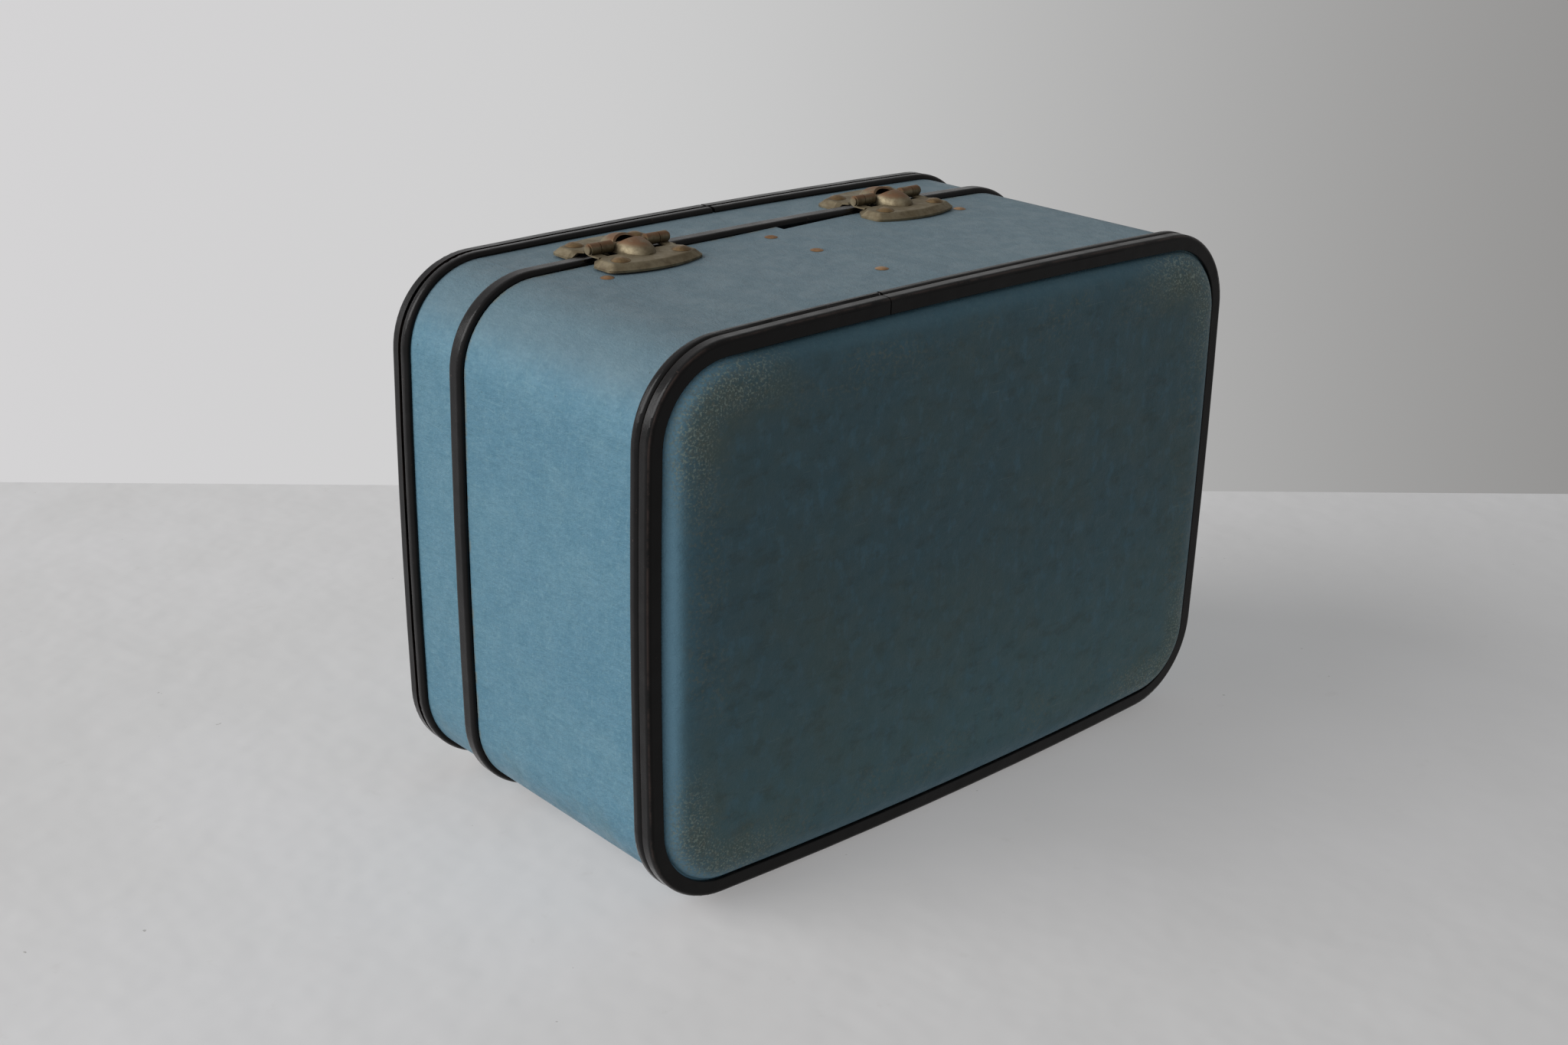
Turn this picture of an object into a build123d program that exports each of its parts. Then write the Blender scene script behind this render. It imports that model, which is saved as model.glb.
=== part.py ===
from build123d import *
import os
from math import asin, cos, radians, sin, sqrt

# A vanity case of bent fibreboard: a deep body and a shallow lid, edged with black welts.
# Millimetres. X runs along the case, the back (hinge side) is +Y, and the lid opens upwards.
# The origin is the middle of the flat face that the case stands on.

# Plan of the case over its welts. The four sides are gentle arcs between rounded corners.
corner_length = 329.0
corner_depth = 226.5
end_bow = 2.0
back_bow = 2.5
front_bow = 5.0
corner_radius = 38.0

# Heights of the two shells, each measured over its own welt
body_height = 119.7
lid_height = 50.0
seam_gap = 0.4

# Boards, linings and the play between glued pieces
wall_board = 2.2
panel_board = 2.0
lining_thickness = 0.5
glue_play = 0.08

# Crowned bottom board and lid board
crown_height = 5.5
crown_shoulder = 13.7
crown_steps = 4
crown_edge_gap = 0.3

# Section of the edge welt: a bead on the wall, a groove, and a band wrapped on to the board
welt_proud = 2.3
welt_bead_height = 5.3
welt_bead_round = 2.1
welt_groove_height = 0.8
welt_groove_depth = 1.3
welt_corner_height = 5.2
welt_corner_round = 2.0
band_inset = 0.2
band_width = 6.8
band_thickness = 1.8
band_edge_round = 0.5

# Butt joints of the welts, at the back
body_joint_x = 47.0
body_joint_gap = 0.5
body_bead_joint_x = 45.5
body_bead_joint_gap = 1.2
lid_joint_x = 2.5
lid_joint_gap = 1.5

# Rim bead on the lid's open edge
rim_bead_height = 8.0
rim_lip_thickness = 1.2
rim_lip_lap = 0.2

# The lap where the ends of the body's bent strip meet, and the step in its top edge
lap_x = 0.0
lap_length = 26.0
lap_rise = 0.5
lap_step_depth = 3.8
lap_step_length = 46.0

# Collar that guides the lid on to the body, measured from the body's open edge
collar_drop = 40.2
collar_rise = 11.5
collar_board = 2.2
collar_lid_play = 0.5

# Rivets, measured down from the body's open edge. Seam rivets hold the lap, and
# collar rivets stand outboard of each hinge.
seam_rivet_x = 13.5
seam_rivet_drops = (12.2, 41.2, 80.2)
collar_rivet_offset = 26.8
collar_rivet_drop = 20.0
small_head_radius = 2.9
small_head_height = 0.7
small_shank_radius = 1.3
rivet_hole_play = 0.08
drill_start = 1.0
drill_overrun = 2.0
rivet_tail_radius = 2.6
rivet_tail_height = 0.6

# Stop hinges
hinge_spacing = 149.0
hinge_shift = 6.0
hinge_width = 48.4
hinge_neck_width = 39.0
hinge_shoulder = 9.0
hinge_side_end = 20.0
hinge_end = 26.0
hinge_corner_round = 4.0
leaf_rise = 3.3
leaf_sheet = 0.8
leaf_lip = 0.9
leaf_taper = 52.0
leaf_edge_round = 1.6
leaf_neck_gap = 3.2
leaf_bead_gap = 0.4
strap_lap = 3.6
strap_sink = 0.05
hinge_axis_height = 1.3
hinge_axis_proud = 5.2
barrel_radius = 2.5
pin_radius = 1.25
pin_play = 0.05
pin_head_radius = 1.9
pin_head_length = 0.8
outer_knuckle_start = 15.4
outer_knuckle_end = 20.0
inner_knuckle_start = 8.9
inner_knuckle_end = 15.1
hinge_rivet_across = 15.7
hinge_rivet_down = 15.7
hinge_head_radius = 4.1
hinge_head_height = 1.5
hinge_shank_radius = 1.7
dome_half_width = 8.3
dome_height = 6.4
dome_length = 15.5
dome_sheet = 0.9
dome_mouth = 0.3
dome_steps = 4
dome_last_turn = 78.0
dome_pin_play = 0.35
lid_opening_angle = 100.0
stop_spare_angle = 1.0

# Latches on the front, one the mirror image of the other
latch_x = 88.0
latch_plate_width = 40.0
latch_plate_bottom = 35.0
latch_plate_top = 3.0
latch_plate_sheet = 1.0
latch_corner = 3.0
latch_rivet_inset = 4.0
latch_head_radius = 2.4
latch_pivot_down = 30.0
latch_pivot_proud = 3.4
hasp_barrel_radius = 2.2
hasp_pin_radius = 1.0
hasp_width = 16.0
hasp_tip_width = 12.0
hasp_sheet = 1.2
hasp_reach = 22.0
hasp_bow = 0.9
hasp_tip_lift = 2.2
hasp_tip_slope = 0.6
hasp_tip_length = 4.0
hasp_tip_crown = 4.4
hasp_side_top = 2.0
hasp_side_lap = 1.0
hasp_lip_height = 16.4
hasp_lip_thickness = 1.2
hasp_lip_width = 10.0
hasp_lip_gap = 0.9
hasp_lip_root = 0.3
ear_thickness = 1.4
ear_radius = 2.6
ear_play = 0.3
hasp_pin_head_radius = 1.5
hasp_pin_head_length = 0.5
housing_width = 19.2
housing_bottom = 21.5
housing_top = 10.5
housing_rise = 4.1
housing_sheet = 0.7
housing_corner = 1.6
housing_round = 0.6
housing_slot_play = 0.5
housing_slot_spare = 1.4
housing_slot_lift = 0.2
slide_height = 16.0
slide_width = 6.0
slide_thickness = 1.0
slide_play = 0.2
slide_proud = 1.9
slide_nose = 2.4
slide_end = 18.0
window_start = 6.0
window_end = 14.6
window_width = 4.2
post_start = 13.4
post_size = 0.9
post_side_play = 0.5
post_sink = 0.3
knob_start = 12.4
knob_length = 5.0
knob_width = 9.0
knob_rise = 3.2
knob_groove = 0.5
knob_corner = 1.2
knob_taper = 6.0
catch_stem_width = 3.6
catch_stem_length = 2.2
catch_foot_reach = 2.0
catch_foot_thickness = 0.5
catch_root = 0.8
spring_strip = 0.8
spring_folds = 6
spring_half_span = 1.3
spring_side_play = 0.1
keeper_width = 22.0
keeper_bottom = 10.0
keeper_top = 25.0
keeper_rib_bottom = 12.3
keeper_rib_top = 15.9
keeper_rib_width = 11.0
keeper_rib_rise = 2.8
keeper_rib_corner = 1.2
keeper_rib_taper = 8.0
keeper_rivet_across = 8.0
keeper_rivet_height = 21.0

# Handle on the lid
bracket_spacing = 128.0
bracket_width = 12.0
bracket_corner = 5.9
bracket_length = 36.0
bracket_loop_gap = 0.4
bracket_sheet = 1.2
bracket_rivet_spacing = 26.0
handle_axis_rise = 3.2
bracket_barrel_radius = 2.9
loop_wire_radius = 1.6
loop_play = 0.06
loop_half_width = 8.0
loop_height = 14.0
loop_corner = 3.0
grip_half_length = 57.0
grip_centre_height = 31.0
grip_end_drop = 4.0
grip_half_width = 8.5
grip_half_thickness = 7.2
grip_end_taper = 0.80
grip_rest_gap = 0.5
cap_length = 14.0
cap_lap = 2.0
cap_sheet = 0.6
cap_overhang = 0.5
cap_swell = 1.02
cap_swell_at = 0.45
cap_end_share = 0.62
lug_width = 6.0
lug_half_thickness = 4.2

# Mirror in the lid
mirror_length = 224.0
mirror_depth = 132.0
mirror_corner = 10.0
mirror_thickness = 2.0
mirror_frame_width = 5.0
mirror_frame_lip = 2.0
mirror_frame_height = 4.0
mirror_bevel_share = 0.6

# Levels and insets that follow from the sizes above
body_welt_bottom = crown_height
body_edge = body_welt_bottom + body_height
lid_bottom = body_edge + seam_gap
lid_welt_top = lid_bottom + lid_height
lid_top = lid_welt_top + crown_height
wall_inset = welt_proud + glue_play
wall_inner_inset = wall_inset + wall_board
band_end_inset = band_inset + band_width
crown_inset = band_end_inset + crown_edge_gap
body_flange_bottom = body_welt_bottom + band_thickness + glue_play
body_flange_top = body_flange_bottom + panel_board
lid_flange_top = lid_welt_top - band_thickness - glue_play
lid_flange_bottom = lid_flange_top - panel_board
collar_outer_inset = wall_inner_inset + glue_play
collar_inner_inset = collar_outer_inset + collar_board
collar_upper_inset = wall_inner_inset + glue_play + lining_thickness + collar_lid_play
collar_bottom = body_edge - collar_drop
hinge_axis_z = body_edge + hinge_axis_height
hinge_centres = {
    "left": hinge_shift - hinge_spacing / 2,
    "right": hinge_shift + hinge_spacing / 2,
}
latch_sides = {"left": -1, "right": 1}


def side_radius(bow, chord):
    """Radius of the arc that bows out by this much over the chord."""
    return (chord / 2) ** 2 / (2 * bow) + bow / 2


def wall_y(x, inset=wall_inset, back=True):
    """Distance of the back or front wall's surface from the case's middle, at this x."""
    bow = back_bow if back else front_bow
    radius = side_radius(bow, corner_length)
    centre = corner_depth / 2 + bow - radius
    return centre + sqrt((radius - inset) ** 2 - x**2)


def back_seat(x, z, inset=wall_inset):
    """Plane on the back wall, looking outwards, with its own y upwards."""
    lean = asin(x / side_radius(back_bow, corner_length))
    return Plane(
        origin=(x, wall_y(x, inset), z), x_dir=(-cos(lean), sin(lean), 0), z_dir=(sin(lean), cos(lean), 0)
    )


def front_seat(x, z, inset=wall_inset):
    """Plane on the front wall, looking outwards, with its own y upwards."""
    lean = asin(x / side_radius(front_bow, corner_length))
    return Plane(
        origin=(x, -wall_y(x, inset, back=False), z),
        x_dir=(cos(lean), sin(lean), 0),
        z_dir=(sin(lean), -cos(lean), 0),
    )


def moved(seat, across=0.0, up=0.0, out=0.0):
    """The same plane, shifted along its own directions."""
    return seat.moved(Location((across, up, out)))


def side_view(seat):
    """Plane through a seat that is cut across it: its x points out of the seat, and its y up."""
    return Plane(origin=seat.origin, x_dir=seat.z_dir, z_dir=seat.z_dir.cross(seat.y_dir))


def case_outline(inset):
    """Plan outline of the case, drawn in by the inset: four wide discs that overlap, with rounded corners."""
    sides = (
        (0, corner_length, corner_depth, end_bow),
        (90, corner_depth, corner_length, back_bow),
        (180, corner_length, corner_depth, end_bow),
        (270, corner_depth, corner_length, front_bow),
    )
    with BuildSketch(mode=Mode.PRIVATE) as plan:
        for turn, span, chord, bow in sides:
            radius = side_radius(bow, chord)
            inwards = radius - span / 2 - bow
            with Locations(Rot(0, 0, turn + 180) * Pos(inwards, 0)):
                Circle(radius - inset, mode=Mode.INTERSECT if turn else Mode.ADD)
        fillet(plan.vertices(), corner_radius - inset)
    return plan.sketch


def crowned_form(rim_z, flat_z, rim_inset, shoulder):
    """Pillowed solid: upright at its rim, rounding over the shoulder on to a flat face."""
    with BuildPart() as form:
        for step in range(crown_steps + 1):
            turn = radians(90 * step / crown_steps)
            inset = rim_inset + shoulder * (1 - cos(turn))
            level = rim_z + (flat_z - rim_z) * sin(turn)
            with BuildSketch(Plane.XY.offset(level)):
                add(case_outline(inset))
        loft()
    return form.part


def crowned_board(flange_out_z, flange_in_z, flat_z):
    """Pressed board: a flat flange under the welt and a crowned middle, of even thickness."""
    inward = 1 if flange_in_z > flange_out_z else -1
    outer = crowned_form(flange_in_z, flat_z, crown_inset, crown_shoulder)
    inner = crowned_form(
        flange_in_z,
        flat_z + inward * panel_board,
        crown_inset + panel_board,
        crown_shoulder - panel_board,
    )
    with BuildPart() as pressed:
        with BuildSketch(Plane.XY.offset(flange_out_z)):
            add(case_outline(wall_inset))
        extrude(amount=flange_in_z - flange_out_z)
        add(outer)
        add(inner, mode=Mode.SUBTRACT)
    return pressed.part


def rivet(seat, head_radius, head_height, shank_radius, grip, tail=False):
    """Domed rivet on a seat, with its shank through the grip and an optional clinched tail."""
    ball_radius = (head_radius**2 + head_height**2) / (2 * head_height)
    crown = head_height - ball_radius + sqrt(ball_radius**2 - (head_radius / 2) ** 2)
    with BuildPart() as made:
        with BuildSketch(side_view(seat)):
            with BuildLine():
                Line((head_height, 0), (-grip, 0))
                Polyline((-grip, 0), (-grip, -shank_radius), (0, -shank_radius), (0, -head_radius))
                ThreePointArc((0, -head_radius), (crown, -head_radius / 2), (head_height, 0))
            make_face()
        revolve(axis=Axis(seat.origin, seat.z_dir))
        if tail:
            with BuildSketch(moved(seat, out=-grip)):
                Circle(rivet_tail_radius)
            extrude(amount=-rivet_tail_height)
    return made.part


def gathered(pieces):
    """Identical fasteners as one piece of several solids."""
    with BuildPart() as group:
        for piece in pieces:
            add(piece)
    return group.part


def finish(part, name):
    """Label a finished piece and write it."""
    part.label = name
    export_step(part, f"parts/{name}.step")


os.makedirs("parts", exist_ok=True)

# Seats of the rivets that pass through the body's wall
seam_seats = [back_seat(seam_rivet_x, body_edge - drop) for drop in seam_rivet_drops]
collar_rivet_xs = [
    hinge_centres["left"] - collar_rivet_offset,
    hinge_centres["right"] + collar_rivet_offset,
]
collar_seats = [back_seat(x, body_edge - collar_rivet_drop) for x in collar_rivet_xs]


def hinge_seat(side):
    """Upright plane that a hinge's two leaves lie on, level with the hinge's axis."""
    # Both hinges share the level of the leaf edge where the bowed wall stands furthest out
    nearest_edge = min(abs(centre) for centre in hinge_centres.values()) - hinge_width / 2
    seat_y = wall_y(nearest_edge) + glue_play
    return Plane(origin=(hinge_centres[side], seat_y, hinge_axis_z), x_dir=(-1, 0, 0), z_dir=(0, 1, 0))


def hinge_rivet_seats(side, up):
    """Rivet seats on a hinge leaf's field. up is 1 on the lid's leaf and -1 on the body's."""
    seat = hinge_seat(side)
    xs = (-hinge_rivet_across, hinge_rivet_across)
    return [moved(seat, x, up * hinge_rivet_down, leaf_rise) for x in xs]


def latch_seat(side):
    """Plane on the front wall at a latch's middle, level with the body's open edge."""
    return front_seat(latch_sides[side] * latch_x, body_edge)


def latch_rivet_seats(side):
    """Seats of the four rivets that hold a latch's plate."""
    across = latch_plate_width / 2 - latch_rivet_inset
    heights = (-latch_plate_top - latch_rivet_inset, -latch_plate_bottom + latch_rivet_inset)
    return [moved(latch_seat(side), x, z, latch_plate_sheet) for x in (-across, across) for z in heights]


def keeper_rivet_seats(side):
    """Seats of the two rivets that hold a latch's keeper on the lid."""
    seat = latch_seat(side)
    xs = (-keeper_rivet_across, keeper_rivet_across)
    return [moved(seat, x, keeper_rivet_height, latch_plate_sheet) for x in xs]


body_rivet_seats = seam_seats + collar_seats
for side in hinge_centres:
    body_rivet_seats += hinge_rivet_seats(side, -1)
    body_rivet_seats += latch_rivet_seats(side)
lid_rivet_seats = []
for side in hinge_centres:
    lid_rivet_seats += hinge_rivet_seats(side, 1)
    lid_rivet_seats += keeper_rivet_seats(side)


def shank_radius_at(seat):
    """Radius of the shank that stands on this seat."""
    hinge_seats = [hinge_rivet_seats(side, up) for side in hinge_centres for up in (-1, 1)]
    on_hinge = any(seat.origin == other.origin for pair in hinge_seats for other in pair)
    return hinge_shank_radius if on_hinge else small_shank_radius


def drill(seats):
    """Solids to cut away where shanks pass through the boards."""
    holes = []
    for seat in seats:
        with BuildPart() as hole:
            with BuildSketch(moved(seat, out=drill_start)):
                Circle(shank_radius_at(seat) + rivet_hole_play)
            extrude(amount=-(leaf_rise + collar_inner_inset + drill_overrun))
        holes.append(hole.part)
    return holes


body_holes = drill(body_rivet_seats)
lid_holes = drill(lid_rivet_seats)

# Body wall: one strip of board, bent round, its ends lapped at the back
with BuildPart() as body_wall:
    with BuildSketch(Plane.XY.offset(body_flange_top)):
        add(case_outline(wall_inset))
        add(case_outline(wall_inner_inset), mode=Mode.SUBTRACT)
    extrude(amount=body_edge - body_flange_top)
    # The outer end stands a little proud and feathers out along the wall
    lap_face = wall_y(lap_x)
    bead_top = body_welt_bottom + welt_corner_height + welt_groove_height + welt_bead_height
    with BuildSketch(Plane.XY.offset(bead_top + glue_play)):
        with BuildLine():
            Polyline(
                (lap_x, lap_face - wall_board / 2),
                (lap_x, lap_face + lap_rise),
                (lap_x + lap_length / 2, wall_y(lap_x + lap_length / 2) + lap_rise / 2),
                (lap_x + lap_length, wall_y(lap_x + lap_length)),
                (lap_x + lap_length, lap_face - wall_board / 2),
                close=True,
            )
        make_face()
    extrude(amount=body_edge - bead_top - glue_play)
    # The inner end was cut short at the top, which leaves a step beside the lap
    with BuildSketch(Plane.XZ.offset(-wall_y(0) - wall_board)):
        with BuildLine():
            Polyline(
                (lap_x, body_edge + drill_start),
                (lap_x, body_edge - lap_step_depth),
                (lap_x - lap_step_length, body_edge),
                (lap_x - lap_step_length, body_edge + drill_start),
                close=True,
            )
        make_face()
    extrude(amount=3 * wall_board, mode=Mode.SUBTRACT)
    for hole in body_holes:
        add(hole, mode=Mode.SUBTRACT)
finish(body_wall.part, "body_wall")

# Bottom board, crowned downwards. Its flat middle is what the case stands on.
bottom_panel = crowned_board(body_flange_bottom, body_flange_top, 0.0)
finish(bottom_panel, "bottom_panel")


def edge_welt(face_z, inward, joint_x, joint_gap, bead_joint_x, bead_joint_gap):
    """Welt round one end of the case. inward is 1 at the bottom and -1 at the lid's top."""
    groove_z = face_z + inward * welt_corner_height
    bead_z = groove_z + inward * welt_groove_height
    bead_end = bead_z + inward * welt_bead_height
    with BuildPart() as welt:
        with BuildSketch(Plane.XY.offset(bead_z)):
            add(case_outline(0))
            add(case_outline(welt_proud), mode=Mode.SUBTRACT)
        extrude(amount=bead_end - bead_z)
        bead_faces = welt.faces().filter_by(Plane.XY)
        fillet([edge for face in bead_faces for edge in face.outer_wire().edges()], welt_bead_round)
        with Locations((bead_joint_x, corner_depth / 2, bead_z + inward * welt_bead_height / 2)):
            Box(bead_joint_gap, 8 * welt_proud, welt_bead_height + welt_groove_height, mode=Mode.SUBTRACT)
        with BuildSketch(Plane.XY.offset(groove_z)):
            add(case_outline(welt_groove_depth))
            add(case_outline(welt_proud), mode=Mode.SUBTRACT)
        extrude(amount=bead_z - groove_z)
        with BuildSketch(Plane.XY.offset(face_z)):
            add(case_outline(band_inset))
            add(case_outline(welt_proud), mode=Mode.SUBTRACT)
        extrude(amount=groove_z - face_z)
        with BuildSketch(Plane.XY.offset(face_z)):
            add(case_outline(band_inset))
            add(case_outline(band_end_inset), mode=Mode.SUBTRACT)
        extrude(amount=inward * band_thickness)
        band_face = welt.faces().filter_by(Plane.XY).sort_by(Axis.Z)[0 if inward > 0 else -1]
        fillet(band_face.outer_wire().edges(), welt_corner_round)
        band_face = welt.faces().filter_by(Plane.XY).sort_by(Axis.Z)[0 if inward > 0 else -1]
        fillet(band_face.inner_wires()[0].edges(), band_edge_round)
        joint_height = 2 * (welt_corner_height + welt_groove_height)
        with Locations((joint_x, corner_depth / 2, face_z)):
            Box(joint_gap, 4 * band_end_inset, joint_height, mode=Mode.SUBTRACT)
    return welt.part


body_welt = edge_welt(
    body_welt_bottom, 1, body_joint_x, body_joint_gap, body_bead_joint_x, body_bead_joint_gap
)
finish(body_welt, "body_welt")

# Lining of the body: a tray on the bottom board and a skirt up the wall
lining_floor = body_flange_top + glue_play
tray_outer = crowned_form(
    lining_floor,
    panel_board + glue_play,
    crown_inset + panel_board + glue_play,
    crown_shoulder - panel_board,
)
tray_inner = crowned_form(
    lining_floor + lining_thickness,
    panel_board + glue_play + lining_thickness,
    crown_inset + panel_board + glue_play + lining_thickness,
    crown_shoulder - panel_board,
)
with BuildPart() as body_lining:
    with BuildSketch(Plane.XY.offset(lining_floor)):
        add(case_outline(collar_outer_inset))
    extrude(amount=lining_thickness)
    add(tray_outer)
    add(tray_inner, mode=Mode.SUBTRACT)
    with BuildSketch(Plane.XY.offset(lining_floor)):
        add(case_outline(collar_outer_inset))
        add(case_outline(collar_outer_inset + lining_thickness), mode=Mode.SUBTRACT)
    extrude(amount=collar_bottom - lining_floor - glue_play)
finish(body_lining.part, "body_lining")

# Collar: a board inside the wall that rises above its edge and guides the lid
with BuildPart() as body_collar:
    with BuildSketch(Plane.XY.offset(collar_bottom)):
        add(case_outline(collar_outer_inset))
        add(case_outline(collar_inner_inset), mode=Mode.SUBTRACT)
    extrude(amount=body_edge - collar_bottom)
    with BuildSketch(Plane.XY.offset(body_edge)):
        add(case_outline(collar_upper_inset))
        add(case_outline(collar_inner_inset), mode=Mode.SUBTRACT)
    extrude(amount=collar_rise)
    top_face = body_collar.faces().filter_by(Plane.XY).sort_by(Axis.Z)[-1]
    chamfer(top_face.outer_wire().edges(), collar_lid_play)
    for hole in body_holes:
        add(hole, mode=Mode.SUBTRACT)
finish(body_collar.part, "body_collar")

# Rivets of the lap and of the collar
collar_grip = wall_board + collar_board + 2 * glue_play
lap_rivets = []
for seat in seam_seats:
    through_collar = seat.origin.Z > collar_bottom
    raised = moved(seat, out=lap_rise / 2 + glue_play)
    grip = (collar_grip if through_collar else wall_board) + lap_rise / 2
    lap_rivets.append(
        rivet(raised, small_head_radius, small_head_height, small_shank_radius, grip, tail=through_collar)
    )
finish(gathered(lap_rivets), "seam_rivets")

outboard_rivets = []
for seat in collar_seats:
    raised = moved(seat, out=glue_play)
    outboard_rivets.append(
        rivet(raised, small_head_radius, small_head_height, small_shank_radius, collar_grip, tail=True)
    )
finish(gathered(outboard_rivets), "collar_rivets")


def stop_dome(seat, up):
    """Hollow pressed hood in the middle of a leaf, cut to the plane where the two leaves stop."""
    shells = []
    for wall in (0.0, dome_sheet):
        with BuildPart() as hood:
            for step in range(dome_steps + 1):
                turn = radians(dome_last_turn * step / dome_steps)
                level = up * (dome_mouth + sin(turn) * (dome_length - wall))
                station = moved(seat, up=level, out=leaf_rise - leaf_sheet)
                with BuildSketch(Plane(origin=station.origin, x_dir=seat.x_dir, z_dir=seat.y_dir)):
                    Ellipse((dome_half_width - wall) * cos(turn), (dome_height - wall) * cos(turn))
            loft()
        shells.append(hood.part)
    stop_angle = radians((180 - lid_opening_angle - stop_spare_angle) / 2)
    axis_point = moved(seat, out=hinge_axis_proud)
    # The stop plane holds the hinge's axis and leans away from the other leaf
    normal = seat.z_dir * cos(stop_angle) - seat.y_dir * (up * sin(stop_angle))
    with BuildPart() as dome:
        add(shells[0])
        add(shells[1], mode=Mode.SUBTRACT)
        split(bisect_by=moved(seat, out=leaf_rise - leaf_sheet), keep=Keep.TOP)
        stop_plane = Plane(origin=axis_point.origin, x_dir=seat.x_dir, z_dir=normal)
        split(bisect_by=stop_plane, keep=Keep.BOTTOM)
        with BuildSketch(Plane(origin=axis_point.origin, x_dir=seat.z_dir, z_dir=seat.x_dir)):
            Circle(pin_radius + dome_pin_play)
        extrude(amount=hinge_width / 2, both=True, mode=Mode.SUBTRACT)
    return dome.part


def hinge_leaf(side, up, knuckle_start, knuckle_end):
    """Pressed leaf with its knuckles and stop dome. up is 1 for the lid's leaf, -1 for the body's."""
    seat = hinge_seat(side)
    half_width = hinge_width / 2
    half_neck = hinge_neck_width / 2
    dome = stop_dome(seat, up)
    with BuildPart() as leaf:
        for sheet in (0.0, leaf_sheet):
            with BuildSketch(mode=Mode.PRIVATE) as field:
                with BuildLine():
                    Polyline(
                        (half_width, up * hinge_side_end),
                        (half_width, up * hinge_shoulder),
                        (half_neck, up * leaf_neck_gap),
                        (-half_neck, up * leaf_neck_gap),
                        (-half_width, up * hinge_shoulder),
                        (-half_width, up * hinge_side_end),
                    )
                    ThreePointArc(
                        (-half_width, up * hinge_side_end),
                        (0, up * hinge_end),
                        (half_width, up * hinge_side_end),
                    )
                make_face()
                corners = field.vertices().sort_by(Axis.Y)
                fillet(corners[-2:] if up > 0 else corners[:2], hinge_corner_round)
                if sheet:
                    offset(amount=-sheet)
            # An upright lip lies on the wall, and the leaf slopes up from it on all sides
            lip = leaf_lip / 2 if sheet else leaf_lip
            mode = Mode.SUBTRACT if sheet else Mode.ADD
            for level, height, taper in ((0.0, lip, 0.0), (lip, leaf_rise - sheet - lip, leaf_taper)):
                with BuildSketch(moved(seat, out=level)):
                    add(field.sketch)
                extrude(amount=height, taper=taper, mode=mode)
            if not sheet:
                crest = leaf.faces().sort_by(Axis.Y)[-1]
                fillet(crest.outer_wire().edges(), leaf_edge_round)
        if up > 0:
            # The skirt is cut away where the leaf passes over the lid's rim bead
            clear_height = lid_bottom + rim_bead_height + leaf_bead_gap - hinge_axis_z
            with BuildSketch(seat):
                with Locations((0, clear_height / 2)):
                    Rectangle(2 * hinge_width, clear_height)
            extrude(amount=leaf_rise - leaf_sheet, mode=Mode.SUBTRACT)
        for hand in (-1, 1):
            middle = hand * (knuckle_start + knuckle_end) / 2
            knuckle_plane = moved(seat, across=middle)
            cross = Plane(origin=knuckle_plane.origin, x_dir=seat.z_dir, z_dir=seat.x_dir)
            upward = 1 if cross.y_dir.Z > 0 else -1
            strap_length = leaf_neck_gap + strap_lap
            with BuildSketch(cross):
                with Locations((hinge_axis_proud, 0)):
                    Circle(barrel_radius)
                with Locations((leaf_rise - leaf_sheet / 2, upward * up * strap_length / 2)):
                    Rectangle(leaf_sheet - 2 * strap_sink, strap_length)
            extrude(amount=(knuckle_end - knuckle_start) / 2, both=True)
        add(dome)
        axis_point = moved(seat, out=hinge_axis_proud).origin
        with BuildSketch(Plane(origin=axis_point, x_dir=seat.z_dir, z_dir=seat.x_dir)):
            Circle(pin_radius + pin_play)
        extrude(amount=half_width, both=True, mode=Mode.SUBTRACT)
        for rivet_seat in hinge_rivet_seats(side, up):
            with BuildSketch(moved(rivet_seat, out=drill_start)):
                Circle(hinge_shank_radius + rivet_hole_play)
            extrude(amount=-leaf_rise, mode=Mode.SUBTRACT)
    return leaf.part


def hinge_pin(side):
    """Headed pin through the knuckles of a hinge."""
    seat = moved(hinge_seat(side), out=hinge_axis_proud)
    across = Plane(origin=seat.origin, x_dir=seat.z_dir, z_dir=seat.x_dir)
    half_length = outer_knuckle_end + glue_play
    with BuildPart() as pin:
        with BuildSketch(across):
            Circle(pin_radius)
        extrude(amount=half_length, both=True)
        for hand in (-1, 1):
            with BuildSketch(across.offset(hand * half_length)):
                Circle(pin_head_radius)
            extrude(amount=hand * pin_head_length)
    return pin.part


for side in hinge_centres:
    body_leaf = hinge_leaf(side, -1, outer_knuckle_start, outer_knuckle_end)
    finish(body_leaf, f"hinge_body_leaf_{side}")
    lid_leaf = hinge_leaf(side, 1, inner_knuckle_start, inner_knuckle_end)
    finish(lid_leaf, f"hinge_lid_leaf_{side}")
    finish(hinge_pin(side), f"hinge_pin_{side}")

body_leaf_rivets = []
lid_leaf_rivets = []
for side in hinge_centres:
    for seat in hinge_rivet_seats(side, -1):
        raised = moved(seat, out=glue_play)
        grip = raised.origin.Y - wall_y(seat.origin.X, collar_inner_inset) + glue_play
        body_leaf_rivets.append(
            rivet(raised, hinge_head_radius, hinge_head_height, hinge_shank_radius, grip, tail=True)
        )
    for seat in hinge_rivet_seats(side, 1):
        raised = moved(seat, out=glue_play)
        grip = raised.origin.Y - wall_y(seat.origin.X, wall_inner_inset)
        lid_leaf_rivets.append(
            rivet(raised, hinge_head_radius, hinge_head_height, hinge_shank_radius, grip)
        )
finish(gathered(body_leaf_rivets), "hinge_body_rivets")
finish(gathered(lid_leaf_rivets), "hinge_lid_rivets")

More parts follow.
